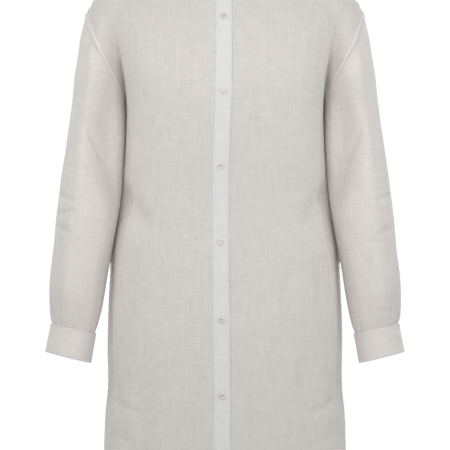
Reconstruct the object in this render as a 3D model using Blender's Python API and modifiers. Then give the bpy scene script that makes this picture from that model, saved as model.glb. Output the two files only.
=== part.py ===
"""A long linen dress shirt, filled out as if worn: band collar, buttoned front, dropped shoulders, closed cuffs.

Metres, +Z up. The front faces -Y and +X is the wearer's left. The origin lies midway between the two high
points of the shoulders, where the shoulder seams meet the collar. Every cut piece is a thin wall of its own.
"""

import math

import bmesh
import bpy
import numpy as np
from mathutils import Matrix, Vector

MM = 0.001

# The cloth, and the room it keeps: at a seam, where cuff meets sleeve, and from one lapped layer to the next.
CLOTH = 1.2 * MM
SEAM = 0.5 * MM
CUFF_SEAM = 0.6 * MM
LAP = 1.7 * MM

# Neck, hem and side vents. The high point is where the shoulder seam meets the collar.
HIGH_POINT = 62 * MM
FRONT_NECK_DROP = 70 * MM
FRONT_NECK_ROUND = 0.65
BACK_NECK_DROP = 4 * MM
LENGTH = 835 * MM
VENT_TOP = -734 * MM
VENT_SPREAD = 26 * MM

# The armhole seam runs from the shoulder's outer line down to the side seam.
ARMHOLE_TOP = -107.3 * MM
UNDERARM = -244.2 * MM

# Placket, collar band, front buttons and the cuff's lap.
PLACKET_WIDTH = 26 * MM
UNDERLAP = 11 * MM
SET_BACK_RUN = 28 * MM
COLLAR_HEIGHT = 30 * MM
COLLAR_LEAN = 0.2
COLLAR_TILT = 0.22
BUTTON_RADIUS = 5.5 * MM
FIRST_BUTTON = -109 * MM
BUTTON_PITCH = 123.3 * MM
BUTTONS = 6
CUFF_LAP_DEG = 30
CUFF_LAP_START_DEG = 290
# Where on the cuff's way round its end starts to lift over its beginning, and over how much of the way.
CUFF_LIFT_FROM = 0.62
CUFF_LIFT_RUN = 0.28

# The body's horizontal section: broad faces in front and behind, whose curve would end a little beyond the sides,
# then a soft turn into each side at this share of the full depth. A squareness of 2 would be an ellipse.
SQUARENESS = 3.6
FACE_BEYOND = 6 * MM
SIDE_TURN = 0.74
TURN_SOFTNESS = 0.1
# The height where the chest, or the shoulder blades, are fullest, and how roundly the cloth rises from there.
CHEST = {
    "front": {"height": -235 * MM, "bend": 1.55},
    "back": {"height": -180 * MM, "bend": 1.8},
}
# The sleeve's section is fullest outside its middle, by this share of its half width, and slopes to the body.
SLEEVE_SKEW = 0.25
SLEEVE_SLOPE = 1.8
# How roundly the shoulder turns over, the distance in which that eases into the sleeve's own roundness,
# and the width of the soft crease between body and arm.
SHOULDER_ROUND = 60 * MM
SHOULDER_BLEND = 60 * MM
CREASE = 6 * MM
# One column of each panel runs down that crease: its share of the panel's width may not pass this,
# and it bends back to its place in this distance at the shoulder and below the underarm. The columns before
# it crowd towards it by this share.
CREASE_COLUMN = 8
CREASE_MOST = 0.955
CREASE_RUN = 60 * MM
CREASE_CROWD = 0.45
# The sleeve's inner side lies against the body: the room between them, and the drop below the underarm
# seam in which it opens.
ARM_ROOM = 0.9 * MM
ARM_ROOM_RUN = 15 * MM
# A fold in the body fades out where the cloth is this near the plane of the side seams.
FOLD_EDGE = 25 * MM
# The sleeve's folds fade in below the armhole and out at the cuff, and the sleeve narrows to the cuff at its end.
FOLDS_START = 0.25
FOLDS_END = 0.1
GATHER = 0.14


def table(columns, *rows):
    """One array a column, in metres, from rows in millimetres."""
    return dict(zip(columns.split(), np.array(rows, float).T * MM, strict=True))


BODY = table(
    "height half_width side_lean front back",
    (-835, 199.5, 4, 124, 120),
    (-757, 195.5, 7, 122, 118),
    (-734, 193, 10, 121, 117),
    (-624, 192, 11, 116, 112),
    (-525, 188.3, 12, 109, 103),
    (-492, 187, 12.5, 107, 99),
    (-467, 183, 13, 105, 97),
    (-409, 173.2, 11, 104, 95),
    (-327, 165.8, 8, 111, 101),
    (-262, 162.7, 6, 116, 108),
    (-244.2, 163.4, 5, 117, 110),
    (-200, 168.5, 3.5, 116, 112),
    (-173, 174, 3, 113, 112),
    (-147, 180, 3, 111, 111),
    (-117, 198, 4, 108, 110),
    (-80, 235, 6, 98, 107),
    (0, 270, 8, 82, 100),
)
ARM = table(
    "height centre half_width half_depth forward",
    (-632, 247.7, 37, 30, 33),
    (-604, 246.4, 42.4, 37, 33),
    (-564, 243.2, 46.4, 45, 32.5),
    (-525, 238.6, 48.4, 49, 31),
    (-492, 233.4, 49.4, 52, 29),
    (-426, 225.2, 51.8, 57, 25),
    (-376, 219.1, 51.6, 59, 21),
    (-327, 213.4, 50.2, 60, 16),
    (-275, 209.5, 47, 61, 7),
    (-244.2, 207.6, 44.2, 61, 0),
    (-200, 205.2, 42.2, 62, 0),
    (-173, 201.8, 40.8, 60, 0),
    (-147.7, 198.4, 40.4, 56, 0),
    (-107.3, 189.8, 40, 50, 0),
)
# Between the high points this line only gives the neck its depth: no cloth reaches it.
SHOULDER = table(
    "across height",
    (-62, 0),
    (0, 30),
    (62, 0),
    (100, -14),
    (140, -31),
    (170, -46),
    (195, -62),
    (213.7, -79.2),
    (222.8, -94),
    (229.8, -107.3),
)
# The way the buttoned edge wavers from side to side on its way down.
CENTRE_FRONT = table(
    "height across",
    (-835, -4),
    (-734, -4.4),
    (-607, -5.6),
    (-480, -7),
    (-353, -6.6),
    (-228, -2.2),
    (-70, -2),
)
# The largest troughs of the hung cloth, each along a line from one end to the other.
BODY_FOLDS = {
    "front": table(
        "x1 z1 x2 z2 width depth",
        (150, -410, 122, -455, 22, 4),
        (188, -737, 140, -758, 8, 2.5),
        (60, -640, 72, -835, 22, 2.5),
        (128, -600, 140, -835, 20, 3),
    ),
    "back": table(
        "x1 z1 x2 z2 width depth",
        (148, -400, 110, -450, 22, 4),
        (40, -60, 120, -150, 20, 2),
        (52, -560, 60, -835, 22, 3.5),
        (124, -590, 136, -835, 20, 3),
    ),
}
SLEEVE_FOLDS = {
    "front": table(
        "x1 z1 x2 z2 width depth",
        (226, -292, 184, -354, 9, 4.5),
        (219, -128, 229, -225, 7, 2.5),
        (274, -418, 250, -430, 6, 2.5),
        (240, -585, 236, -628, 6, 2.5),
    ),
    "back": table(
        "x1 z1 x2 z2 width depth",
        (262, -372, 205, -392, 9, 4.5),
        (258, -428, 206, -420, 8, 3.5),
        (268, -575, 262, -622, 7, 4),
        (242, -585, 240, -628, 6, 3),
    ),
}
# Across and height of the ends of the cuff's upper and lower edges, its half depth and how far forward it hangs.
CUFF = table(
    "along outer_x outer_z inner_x inner_z half_depth forward",
    (0, 285.9, -612.2, 211.2, -628.2, 29.5, 33),
    (50, 295, -658, 219.6, -676.8, 31, 35),
)

# How finely each piece is divided, and how finely the outline and the crease between body and arm are found.
NECK_STEPS = 6
SIDE_STEPS = 12
ARMHOLE_STEPS = 10
FIRST_TURN = 0.024
SIDE_SEAM_HEIGHTS = (-262, -290, -327, -368, -409, -450, -490, -530, -577, -625, -680, -734, -785, -835)
SLEEVE_STEPS = 15
PLACKET_STEPS = 4
CUFF_STEPS = 26
OUTLINE_STEPS = 250
HALVINGS = 16

LINEN_COLOUR = (0.70, 0.67, 0.64)
LINEN_ROUGHNESS = 0.85
PEARL_COLOUR = (0.78, 0.76, 0.73)
PEARL_ROUGHNESS = 0.25


def smooth(rows, column, at):
    """The column's value at places along the first column, on a smooth curve through the rows."""
    x, y = next(iter(rows.values())), rows[column]
    slope = np.gradient(y, x)
    low = np.clip(np.searchsorted(x, at) - 1, 0, len(x) - 2)
    span = x[low + 1] - x[low]
    t = np.clip((at - x[low]) / span, 0, 1)
    start = (1 + 2 * t) * (1 - t) ** 2 * y[low] + t * (1 - t) ** 2 * span * slope[low]
    end = t**2 * (3 - 2 * t) * y[low + 1] + t**2 * (t - 1) * span * slope[low + 1]
    return start + end


def ease(t):
    t = np.clip(t, 0, 1)
    return t * t * (3 - 2 * t)


def armhole(turn):
    """Across and height of the armhole seam. The turn runs from 0 at the shoulder to 1 under the arm."""
    height = ARMHOLE_TOP + (UNDERARM - ARMHOLE_TOP) * (1 - np.cos(np.pi * turn)) / 2
    across = smooth(ARM, "centre", height) + smooth(ARM, "half_width", height) * np.cos(np.pi * turn)
    return across, height


def seam_slant(turn):
    """How much more than the seam's gap the sleeve drops, to keep that gap along the slanting armhole."""
    middle = (ARMHOLE_TOP + UNDERARM) / 2
    half_width, half_depth = smooth(ARM, "half_width", middle), smooth(ARM, "half_depth", middle)
    down = (ARMHOLE_TOP - UNDERARM) / 2 * np.sin(np.pi * turn)
    level = np.hypot(half_width * np.sin(np.pi * turn), half_depth * np.cos(np.pi * turn))
    return np.hypot(1, down / level)


def side_edge(height):
    """How far out the body's panels reach: to the armhole seam, then down the side seam."""
    turn = np.arccos(1 - 2 * np.clip((height - ARMHOLE_TOP) / (UNDERARM - ARMHOLE_TOP), 0, 1)) / np.pi
    return np.where(height > UNDERARM, armhole(turn)[0], smooth(BODY, "half_width", height))


def top_edge(side, across):
    """The height of a panel's upper edge: the neckline, then the shoulder seam."""
    reach = np.clip(np.abs(across) / HIGH_POINT, 0, 1)
    front = -FRONT_NECK_DROP * (1 - reach**2) ** FRONT_NECK_ROUND
    back = -BACK_NECK_DROP * (1 - reach**2)
    neck = front if side == "front" else back
    return np.where(np.abs(across) < HIGH_POINT, neck, smooth(SHOULDER, "height", np.abs(across)))


def outline():
    """The outer line of the shoulder and the sleeve in the front view, as points a few millimetres apart."""
    across = np.linspace(0, SHOULDER["across"][-1], OUTLINE_STEPS // 3)
    height = np.linspace(ARM["height"][-1], ARM["height"][0], OUTLINE_STEPS * 2 // 3)
    sleeve = smooth(ARM, "centre", height) + smooth(ARM, "half_width", height)
    shoulder = np.stack([across, smooth(SHOULDER, "height", across)], -1)
    return np.concatenate([shoulder, np.stack([sleeve, height], -1)[1:]])


OUTLINE = outline()


def inside(across, height):
    """How far a point of the front view lies inside the outer line of the shoulder and sleeve."""
    start, run = OUTLINE[:-1], np.diff(OUTLINE, axis=0)
    away = np.stack([across, height], -1)[..., None, :] - start
    along = np.clip((away * run).sum(-1) / (run * run).sum(-1), 0, 1)
    return np.linalg.norm(away - along[..., None] * run, axis=-1).min(-1)


def trough(folds, across, height):
    """How deep the cloth dips into the listed folds at a point of the front or back view."""
    dip = np.zeros(np.broadcast(across, height).shape)
    for x1, z1, x2, z2, width, depth in zip(*folds.values(), strict=True):
        along = ((across - x1) * (x2 - x1) + (height - z1) * (z2 - z1)) / ((x2 - x1) ** 2 + (z2 - z1) ** 2)
        along = np.clip(along, 0, 1)
        off = np.hypot(across - x1 - along * (x2 - x1), height - z1 - along * (z2 - z1))
        dip = dip + depth * np.exp(-((off / width) ** 2))
    return dip


def torso_depth(side, across, height):
    """How far the body's cloth stands before or behind the plane of the side seams."""
    half_width = smooth(BODY, "half_width", height)
    face = (1 - np.clip(across / (half_width + FACE_BEYOND), 0, 1) ** SQUARENESS) ** (1 / SQUARENESS)
    flank = SIDE_TURN * np.sqrt(np.clip(half_width - across, 0, None) / smooth(BODY, "side_lean", height))
    near = np.clip(0.5 + (flank - face) / (2 * TURN_SOFTNESS), 0, 1)
    section = np.clip(flank + (face - flank) * near - TURN_SOFTNESS * near * (1 - near), 0, None)
    fullest, bend = CHEST[side]["height"], CHEST[side]["bend"]
    rise = np.clip((height - fullest) / (smooth(SHOULDER, "height", across) - fullest), 0, 1)
    return smooth(BODY, side, height) * section * (1 - rise**bend) ** (1 / bend)


def torso_side(depth, height):
    """How far out the body's side reaches, at a depth before (negative) or behind the side seams."""
    fullest = np.where(depth < 0, smooth(BODY, "front", height), smooth(BODY, "back", height))
    half_width, share = smooth(BODY, "half_width", height), np.clip(np.abs(depth) / fullest, 0, 1)
    face = (half_width + FACE_BEYOND) * (1 - share**SQUARENESS) ** (1 / SQUARENESS)
    return np.minimum(face, half_width - smooth(BODY, "side_lean", height) * (share / SIDE_TURN) ** 2)


def arm_depth(across, height):
    """The same for the sleeve, and for the part of the panels that lies over the top of the arm."""
    centre, half_width = smooth(ARM, "centre", height), smooth(ARM, "half_width", height)
    fullest = centre + SLEEVE_SKEW * half_width
    inward = np.clip((fullest - across) / (half_width * (1 + SLEEVE_SKEW)), 0, 1)
    inner = (1 - inward**SLEEVE_SLOPE) ** (1 / SLEEVE_SLOPE)
    on_shoulder = ease((SHOULDER["across"][-1] - across) / SHOULDER_BLEND) * (height > ARMHOLE_TOP)
    radius = half_width * (1 - SLEEVE_SKEW)
    radius = radius + (SHOULDER_ROUND - radius) * on_shoulder
    outer = np.sqrt(1 - (1 - np.clip(inside(across, height) / radius, 0, 1)) ** 2)
    return smooth(ARM, "half_depth", height) * inner * outer


def panel_depth(side, across, height):
    """The body and the top of the arm together, eased into each other at the crease between them."""
    across = np.abs(across)
    torso, arm = torso_depth(side, across, height), arm_depth(across, height)
    width = np.clip(np.maximum(torso, arm) / 2, 1e-6, CREASE)
    near = np.clip(1 - np.abs(torso - arm) / width, 0, 1)
    fold = trough(BODY_FOLDS[side], across, height) * ease(torso / FOLD_EDGE)
    return np.maximum(torso, arm) + width * near**2 / 4 - fold


def crease_line(side, height):
    """How far out the body's cloth meets that over the arm, found by halving."""
    near = smooth(ARM, "centre", height) - smooth(ARM, "half_width", height)
    far = smooth(BODY, "half_width", height)
    for _ in range(HALVINGS):
        middle = (near + far) / 2
        on_body = torso_depth(side, middle, height) > arm_depth(middle, height)
        near, far = np.where(on_body, middle, near), np.where(on_body, far, middle)
    return near


def panel_rows():
    """How far down each row of a panel lies: 0 at its upper edge and 1 at the hem."""
    turns = np.array([0, FIRST_TURN] + [k / ARMHOLE_STEPS for k in range(1, ARMHOLE_STEPS + 1)])
    heights = np.append(armhole(turns)[1], np.array(SIDE_SEAM_HEIGHTS) * MM)
    return turns, (ARMHOLE_TOP - heights) / (ARMHOLE_TOP + LENGTH)


TURNS, ROWS = panel_rows()
UNDERARM_ROW = len(TURNS) - 1


def panel(side, edge_across):
    """Half a panel, from its centre edge out to the armhole and side seam, as rows of points at +X."""
    start = float(edge_across(np.array(-FRONT_NECK_DROP)))
    neck = [start + (HIGH_POINT - start) * math.sin(k * math.pi / 2 / NECK_STEPS) for k in range(NECK_STEPS)]
    reach = SHOULDER["across"][-1] - HIGH_POINT
    rest = [HIGH_POINT + reach * math.sin(k * math.pi / 2 / SIDE_STEPS) for k in range(SIDE_STEPS + 1)]
    top = np.array(neck + rest)
    share = (top - start) / (top[-1] - start)
    height = top_edge(side, top) * (1 - ROWS[:, None]) - LENGTH * ROWS[:, None]
    centre = edge_across(height)
    width = side_edge(height) - centre
    neck_share, usual = share[NECK_STEPS], share[NECK_STEPS + CREASE_COLUMN]
    crease = np.minimum((crease_line(side, np.maximum(height, UNDERARM)) - centre) / width, CREASE_MOST)
    bend = ease((height[0] - height) / CREASE_RUN) * (1 - ease((UNDERARM - height) / CREASE_RUN))
    crease = usual + (crease - usual) * bend
    part = (share - neck_share) / (usual - neck_share)
    before = neck_share + part * (1 + CREASE_CROWD * bend * (1 - part)) * (crease - neck_share)
    beyond = crease + (share - usual) / (1 - usual) * (1 - crease)
    across = centre + width * np.where(share < neck_share, share, np.where(share < usual, before, beyond))
    depth = panel_depth(side, across, height)
    depth[0, NECK_STEPS:] = SEAM / 2
    open_below = ease((VENT_TOP - height[:, -1]) / (VENT_TOP + LENGTH))
    depth[UNDERARM_ROW:, -1] = (SEAM / 2 + VENT_SPREAD * open_below)[UNDERARM_ROW:]
    return np.stack([across, depth if side == "back" else -depth, height], -1)


def placket_edge(offset):
    """The line that runs down the front at a set distance from the middle of the placket."""
    return lambda height: smooth(CENTRE_FRONT, "across", height) + offset


def placket():
    """The strip on the right front's edge, as rows of points on the same surface as the front."""
    offset = np.linspace(-PLACKET_WIDTH / 2, PLACKET_WIDTH / 2, PLACKET_STEPS + 1)
    top = placket_edge(0)(np.array(-FRONT_NECK_DROP)) + offset
    height = top_edge("front", top) * (1 - ROWS[:, None]) - LENGTH * ROWS[:, None]
    across = placket_edge(0)(height) + offset
    return np.stack([across, -panel_depth("front", across, height), height], -1)


def set_back(across, height):
    """How far the left front lies behind the placket, easing out beyond the placket's free edge."""
    beyond = across - placket_edge(PLACKET_WIDTH / 2)(height)
    return LAP * (1 - ease(beyond / SET_BACK_RUN))


def cuff_ring(along, turn):
    """A point of the cuff: along from 0 at its seam to 1 at its lower edge, turning from the outer side forward."""
    upper, lower = ({name: values[k] for name, values in CUFF.items()} for k in (0, 1))
    at = {name: upper[name] * (1 - along) + lower[name] * along for name in CUFF}
    cos, sin = np.cos(2 * np.pi * turn), np.sin(2 * np.pi * turn)
    across = (at["outer_x"] + at["inner_x"]) / 2 + (at["outer_x"] - at["inner_x"]) / 2 * cos
    height = (at["outer_z"] + at["inner_z"]) / 2 + (at["outer_z"] - at["inner_z"]) / 2 * cos
    return np.stack([across, -at["forward"] - at["half_depth"] * sin, height], -1)


def sleeve():
    """Rows from the armhole seam to the cuff, each going round from the outer side by the front."""
    turns = np.append(TURNS, TURNS[-2:0:-1])
    behind = np.arange(len(turns)) >= len(TURNS)
    top = armhole(turns)[1] - SEAM * seam_slant(turns)
    ring = cuff_ring(-CUFF_SEAM / CUFF["along"][1], np.where(behind, 2 - turns, turns) / 2)
    down = np.linspace(0, 1, SLEEVE_STEPS + 1)[:, None]
    height = top * (1 - down) + ring[:, 2] * down
    across = smooth(ARM, "centre", height) + smooth(ARM, "half_width", height) * np.cos(np.pi * turns)
    dip = np.where(
        behind,
        trough(SLEEVE_FOLDS["back"], across, height),
        trough(SLEEVE_FOLDS["front"], across, height),
    )
    dip = dip * np.sin(np.pi * turns) * ease(down / FOLDS_START) * ease((1 - down) / FOLDS_END)
    depth = arm_depth(across, height) - dip
    depth[:, [0, UNDERARM_ROW]] = 0
    depth = np.where(behind, depth, -depth) - smooth(ARM, "forward", height) * (height < UNDERARM)
    beside = torso_side(depth, height) + ARM_ROOM * ease((UNDERARM - height) / ARM_ROOM_RUN)
    across = np.where(height < UNDERARM, np.maximum(across, beside), across)
    rows = np.stack([across, depth, height], -1)
    pull = ease((down - 1 + GATHER) / GATHER)[..., None]
    return rows + pull * (ring - rows[-1])


def cuff_band(along, share):
    """The wrapped band: it starts under the lap behind the wrist and ends over its own beginning."""
    ring = cuff_ring(along, CUFF_LAP_START_DEG / 360 + share * (1 + CUFF_LAP_DEG / 360))
    away = ring - (cuff_ring(along, 0) + cuff_ring(along, 0.5)) / 2
    away /= np.linalg.norm(away, axis=-1, keepdims=True)
    return ring + away * (LAP * ease((share - CUFF_LIFT_FROM) / CUFF_LIFT_RUN))[..., None]


def collar(right_front, left_front, back, strip):
    """The band collar, from its right end at the placket's free edge round the neck to its left end below."""
    right = right_front[0, : NECK_STEPS + 1] * (-1, 1, 1)
    left = left_front[0, : NECK_STEPS + 1][::-1]
    behind = back[0, : NECK_STEPS + 1]
    round_back = np.concatenate([behind[::-1][1:] * (-1, 1, 1), behind[1:-1]])
    path = np.concatenate([strip[0, ::-1], right[1:], round_back, left])
    path = path + (0, 0, SEAM)
    lean = path * (-1, -1, 0)
    lean /= np.linalg.norm(lean, axis=-1, keepdims=True)
    up = lean * COLLAR_LEAN + (0, -COLLAR_TILT, 1)
    up /= np.linalg.norm(up, axis=-1, keepdims=True)
    return np.array([path + up * COLLAR_HEIGHT * share for share in (1, 0.5, 0)])


def material(name, colour, roughness):
    made = bpy.data.materials.new(name)
    made.use_nodes = True
    shader = made.node_tree.nodes["Principled BSDF"]
    shader.inputs["Base Color"].default_value = (*colour, 1)
    shader.inputs["Roughness"].default_value = roughness
    shader.inputs["Metallic"].default_value = 0
    return made


def cloth(name, points, closed=False, flip=False):
    """A cut piece: the surface through rows of points, given the cloth's thickness on its inner side."""
    rows, columns = points.shape[:2]
    mesh = bpy.data.meshes.new(name)
    shape = bmesh.new()
    grid = [[shape.verts.new(p) for p in row] for row in points.tolist()]
    for i in range(rows - 1):
        for j in range(columns if closed else columns - 1):
            k = (j + 1) % columns
            corners = [grid[i][j], grid[i + 1][j], grid[i + 1][k], grid[i][k]]
            shape.faces.new(corners[::-1] if flip else corners)
    shape.to_mesh(mesh)
    shape.free()
    mesh.shade_smooth()
    mesh.materials.append(material(f"{name}_linen", LINEN_COLOUR, LINEN_ROUGHNESS))
    piece = bpy.data.objects.new(name, mesh)
    wall = piece.modifiers.new("wall", "SOLIDIFY")
    wall.thickness = CLOTH
    wall.offset = -1
    shirt.objects.link(piece)
    piece.parent = mount


def button_mesh():
    """A pearl button with four holes: a dished disc, turned, then bored."""
    well, rim, crown, edge, foot = 0.56, 0.69, 0.89, 1, 0.87
    outline_of_half = (
        (0, 1.9),
        (well, 1.9),
        (rim, 2.4),
        (crown, 2.3),
        (edge, 1.4),
        (foot, 0),
        (0, 0),
    )
    points = [(share * BUTTON_RADIUS, 0, height * MM) for share, height in outline_of_half]
    mesh = bpy.data.meshes.new("button_profile")
    mesh.from_pydata(points, [(k, k + 1) for k in range(len(points) - 1)], [])
    blank = bpy.data.objects.new("button_blank", mesh)
    helpers.objects.link(blank)
    turned = blank.modifiers.new("turned", "SCREW")
    turned.steps = turned.render_steps = 18
    turned.use_merge_vertices = True
    turned.merge_threshold = 0.00001

    hole_radius, hole_offset, drill_length = 0.6 * MM, 1.05 * MM, 4 * MM
    drill = bmesh.new()
    for x, y in ((1, 1), (1, -1), (-1, 1), (-1, -1)):
        bmesh.ops.create_cone(
            drill,
            cap_ends=True,
            segments=6,
            radius1=hole_radius,
            radius2=hole_radius,
            depth=drill_length,
            matrix=Matrix.Translation((x * hole_offset, y * hole_offset, drill_length / 4)),
        )
    drill_mesh = bpy.data.meshes.new("drill")
    drill.to_mesh(drill_mesh)
    drill.free()
    cutter = bpy.data.objects.new("drill", drill_mesh)
    helpers.objects.link(cutter)
    bored = blank.modifiers.new("bored", "BOOLEAN")
    bored.operation = "DIFFERENCE"
    bored.object = cutter
    bpy.context.view_layer.update()
    ready = bpy.data.meshes.new_from_object(blank.evaluated_get(bpy.context.evaluated_depsgraph_get()))
    for helper in (blank, cutter):
        bpy.data.objects.remove(helper)
    ready.shade_smooth()
    ready.set_sharp_from_angle(angle=math.radians(40))
    ready.materials.clear()
    ready.materials.append(material("pearl", PEARL_COLOUR, PEARL_ROUGHNESS))
    return ready


def seat(name, mesh, place, outward):
    """Lays a button on the cloth, a hair's breadth off it, with its face turned outward."""
    clear = 0.3 * MM
    piece = bpy.data.objects.new(name, mesh)
    outward = Vector(outward).normalized()
    piece.location = Vector(place) + outward * clear
    piece.rotation_euler = outward.to_track_quat("Z", "Y").to_euler()
    shirt.objects.link(piece)
    piece.parent = mount


def seat_on(name, mesh, surface, a, b, step, mirror=1):
    """Lays a button on a surface that is given as a function of two places on it."""
    by_a = np.array(surface(a + step, b)) - np.array(surface(a - step, b))
    by_b = np.array(surface(a, b + step)) - np.array(surface(a, b - step))
    seat(name, mesh, np.array(surface(a, b)) * (mirror, 1, 1), np.cross(by_a, by_b) * (mirror, 1, 1))


def front_point(across, height):
    across, height = np.array(across), np.array(height)
    return float(across), -float(panel_depth("front", across, height)), float(height)


def cuff_point(share, along):
    return cuff_band(along, np.array(share))


for old in list(bpy.data.objects):
    bpy.data.objects.remove(old)

shirt = bpy.data.collections.new("linen_shirt")
helpers = bpy.data.collections.new("helpers")
bpy.context.scene.collection.children.link(shirt)
bpy.context.scene.collection.children.link(helpers)
mount = bpy.data.objects.new("shoulder_point", None)
shirt.objects.link(mount)

# Fronts, back and placket.
right_half = panel("front", lambda height: PLACKET_WIDTH / 2 + SEAM - placket_edge(0)(height))
left_half = panel("front", placket_edge(-UNDERLAP))
left_half[..., 1] += set_back(left_half[..., 0], left_half[..., 2])
left_half[0, NECK_STEPS:, 1] = -SEAM / 2
back_half = panel("back", lambda height: 0 * height)
back_whole = np.concatenate([back_half[:, :0:-1] * (-1, 1, 1), back_half], axis=1)
strip = placket()
cloth("front_right", right_half * (-1, 1, 1), flip=True)
cloth("front_left", left_half)
cloth("back", back_whole, flip=True)
cloth("placket", strip)
neckband = collar(right_half, left_half, back_half, strip)
cloth("collar_band", neckband, flip=True)

# Sleeves and cuffs, the right side mirrored from the left.
for side, mirror in (("left", 1), ("right", -1)):
    cloth(f"sleeve_{side}", sleeve() * (mirror, 1, 1), closed=True, flip=mirror > 0)
    cuff = np.array([cuff_band(along, np.linspace(0, 1, CUFF_STEPS + 1)) for along in (0, 0.5, 1)])
    cloth(f"cuff_{side}", cuff * (mirror, 1, 1), flip=mirror > 0)

# Buttons: down the placket, on each cuff's lap, and on the collar where it laps.
pearl = button_mesh()
for k in range(BUTTONS):
    height = FIRST_BUTTON - k * BUTTON_PITCH
    across = float(placket_edge(0)(np.array(height)))
    seat_on(f"button_{k + 1}", pearl, front_point, across, height, 2 * MM)
for side, mirror in (("left", 1), ("right", -1)):
    middle_of_lap = 1 - CUFF_LAP_DEG / (360 + CUFF_LAP_DEG) / 2
    seat_on(f"button_cuff_{side}", pearl, cuff_point, middle_of_lap, 0.5, 0.01, mirror)
middle = PLACKET_STEPS // 2
beside, upward = neckband[1, middle - 1] - neckband[1, middle + 1], neckband[0, middle] - neckband[2, middle]
seat("button_collar", pearl, neckband[1, middle], np.cross(beside, upward))
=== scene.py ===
"""The looks of a long linen dress shirt, filled out as if worn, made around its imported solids.

Metres, +Z up. The front faces -Y and +X is the wearer's left. Each cut piece is a thin shell of woven cloth
on its solid's own form, and the pieces follow each other here in the order in which they are sewn together.
"""

import math

import bmesh
import bpy
import numpy as np
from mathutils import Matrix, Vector, noise


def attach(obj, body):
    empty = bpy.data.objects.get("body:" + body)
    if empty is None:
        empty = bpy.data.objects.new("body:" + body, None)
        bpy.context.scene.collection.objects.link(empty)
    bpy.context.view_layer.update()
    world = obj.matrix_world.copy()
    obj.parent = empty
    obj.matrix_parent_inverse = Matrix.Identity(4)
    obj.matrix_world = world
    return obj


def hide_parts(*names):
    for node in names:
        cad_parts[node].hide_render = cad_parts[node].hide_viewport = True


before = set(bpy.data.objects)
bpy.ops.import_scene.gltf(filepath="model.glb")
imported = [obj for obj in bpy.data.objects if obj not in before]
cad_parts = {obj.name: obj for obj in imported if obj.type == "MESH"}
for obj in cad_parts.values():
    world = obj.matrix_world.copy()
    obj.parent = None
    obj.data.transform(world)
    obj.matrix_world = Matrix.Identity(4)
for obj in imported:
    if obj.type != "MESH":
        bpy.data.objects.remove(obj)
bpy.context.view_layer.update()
MM = 0.001


# The back
# One piece of soft linen from the collar to the hem, over the shoulder blades and the tops of the arms. It
# hangs from the shoulder seams. Its side, armhole and shoulder edges are turned under, felled and stitched.


def table(columns, *rows):
    """One array a column, in metres, from rows in millimetres."""
    return dict(zip(columns.split(), np.array(rows, float).T * MM, strict=True))


BODY = table(
    "height half_width side_lean front back",
    (-835, 199.5, 4, 124, 120),
    (-757, 195.5, 7, 122, 118),
    (-734, 193, 9, 121, 117),
    (-624, 192, 9.5, 116, 112),
    (-525, 188.3, 13, 109, 103),
    (-492, 187, 16, 107, 99),
    (-467, 183, 17, 105, 97),
    (-409, 173.2, 14, 104, 95),
    (-327, 165.8, 10, 111, 101),
    (-262, 162.7, 6, 116, 108),
    (-244.2, 163.4, 5, 117, 110),
    (-200, 168.5, 3.5, 116, 112),
    (-173, 174, 3, 113, 112),
    (-147, 180, 3, 111, 111),
    (-117, 198, 4, 108, 110),
    (-80, 235, 6, 98, 107),
    (0, 270, 8, 82, 100),
)
ARM = table(
    "height centre half_width half_depth forward",
    (-632, 247.7, 37, 30, 33),
    (-604, 246.4, 42.4, 37, 33),
    (-564, 243.2, 46.4, 45, 32.5),
    (-525, 238.6, 48.4, 49, 31),
    (-492, 233.4, 49.4, 52, 29),
    (-426, 225.2, 51.8, 57, 25),
    (-376, 219.1, 51.6, 59, 21),
    (-327, 213.4, 50.2, 60, 16),
    (-275, 209.5, 47, 61, 7),
    (-244.2, 207.6, 44.2, 61, 0),
    (-200, 205.2, 42.2, 62, 0),
    (-173, 201.8, 40.8, 60, 0),
    (-147.7, 198.4, 40.4, 56, 0),
    (-107.3, 189.8, 40, 50, 0),
)
SHOULDER = table(
    "across height",
    (-62, 0),
    (0, 30),
    (62, 0),
    (100, -14),
    (140, -31),
    (170, -46),
    (195, -62),
    (213.7, -79.2),
    (222.8, -94),
    (229.8, -107.3),
)
HIGH_POINT = 62 * MM
FRONT_NECK_DROP = 70 * MM
FRONT_NECK_ROUND = 0.65
BACK_NECK_DROP = 4 * MM
LENGTH = 835 * MM
VENT_TOP = -734 * MM
VENT_SPREAD = 26 * MM
VENT_REACH = 1.3 * VENT_SPREAD
ARMHOLE_TOP = -107.3 * MM
UNDERARM = -244.2 * MM
# The armhole seam's sway off a straight line, outwards, as the eased cloth pulls it.
ARMHOLE_SWAY = table(
    "height outward",
    (-244.2, 0),
    (-205, -4),
    (-173, -0.5),
    (-147, 2),
    (-122, 0),
    (-107.3, 0),
)

# The body's horizontal section has broad faces in front and behind, whose curve would end a little beyond the
# sides, then a soft turn into each side. The sleeve's is fullest outside its middle and slopes to the body.
SQUARENESS = 3.6
FACE_BEYOND = 6 * MM
SIDE_TURN = 0.74
SIDE_BOW = 1.1
TURN_SOFTNESS = 0.05
SLEEVE_SKEW = 0.25
SLEEVE_SLOPE = 1.8
ARMHOLE_FULLNESS = 0.55
ARMHOLE_FULL_RUN = 75 * MM
CHEST = {
    "front": {"height": -235 * MM, "bend": 1.55},
    "back": {"height": -180 * MM, "bend": 1.8},
}
SHOULDER_ROUND = 60 * MM
SHOULDER_BLEND = 60 * MM
SHOULDER_FADE = 30 * MM
CREASE = 3 * MM
CREASE_OPEN = 6 * MM
CREASE_MOST = 0.955
CREASE_RUN = 60 * MM
CREASE_CROWD = 0.45

NECK_COLUMNS = 22
SIDE_COLUMNS = 78
CREASE_COLUMN = 52
ARMHOLE_ROWS = 48
SIDE_ROWS = 172
OUTLINE_POINTS = {"shoulder": 90, "sleeve": 160}
CREASE_POINTS = 150
HALVINGS = 16


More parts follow.
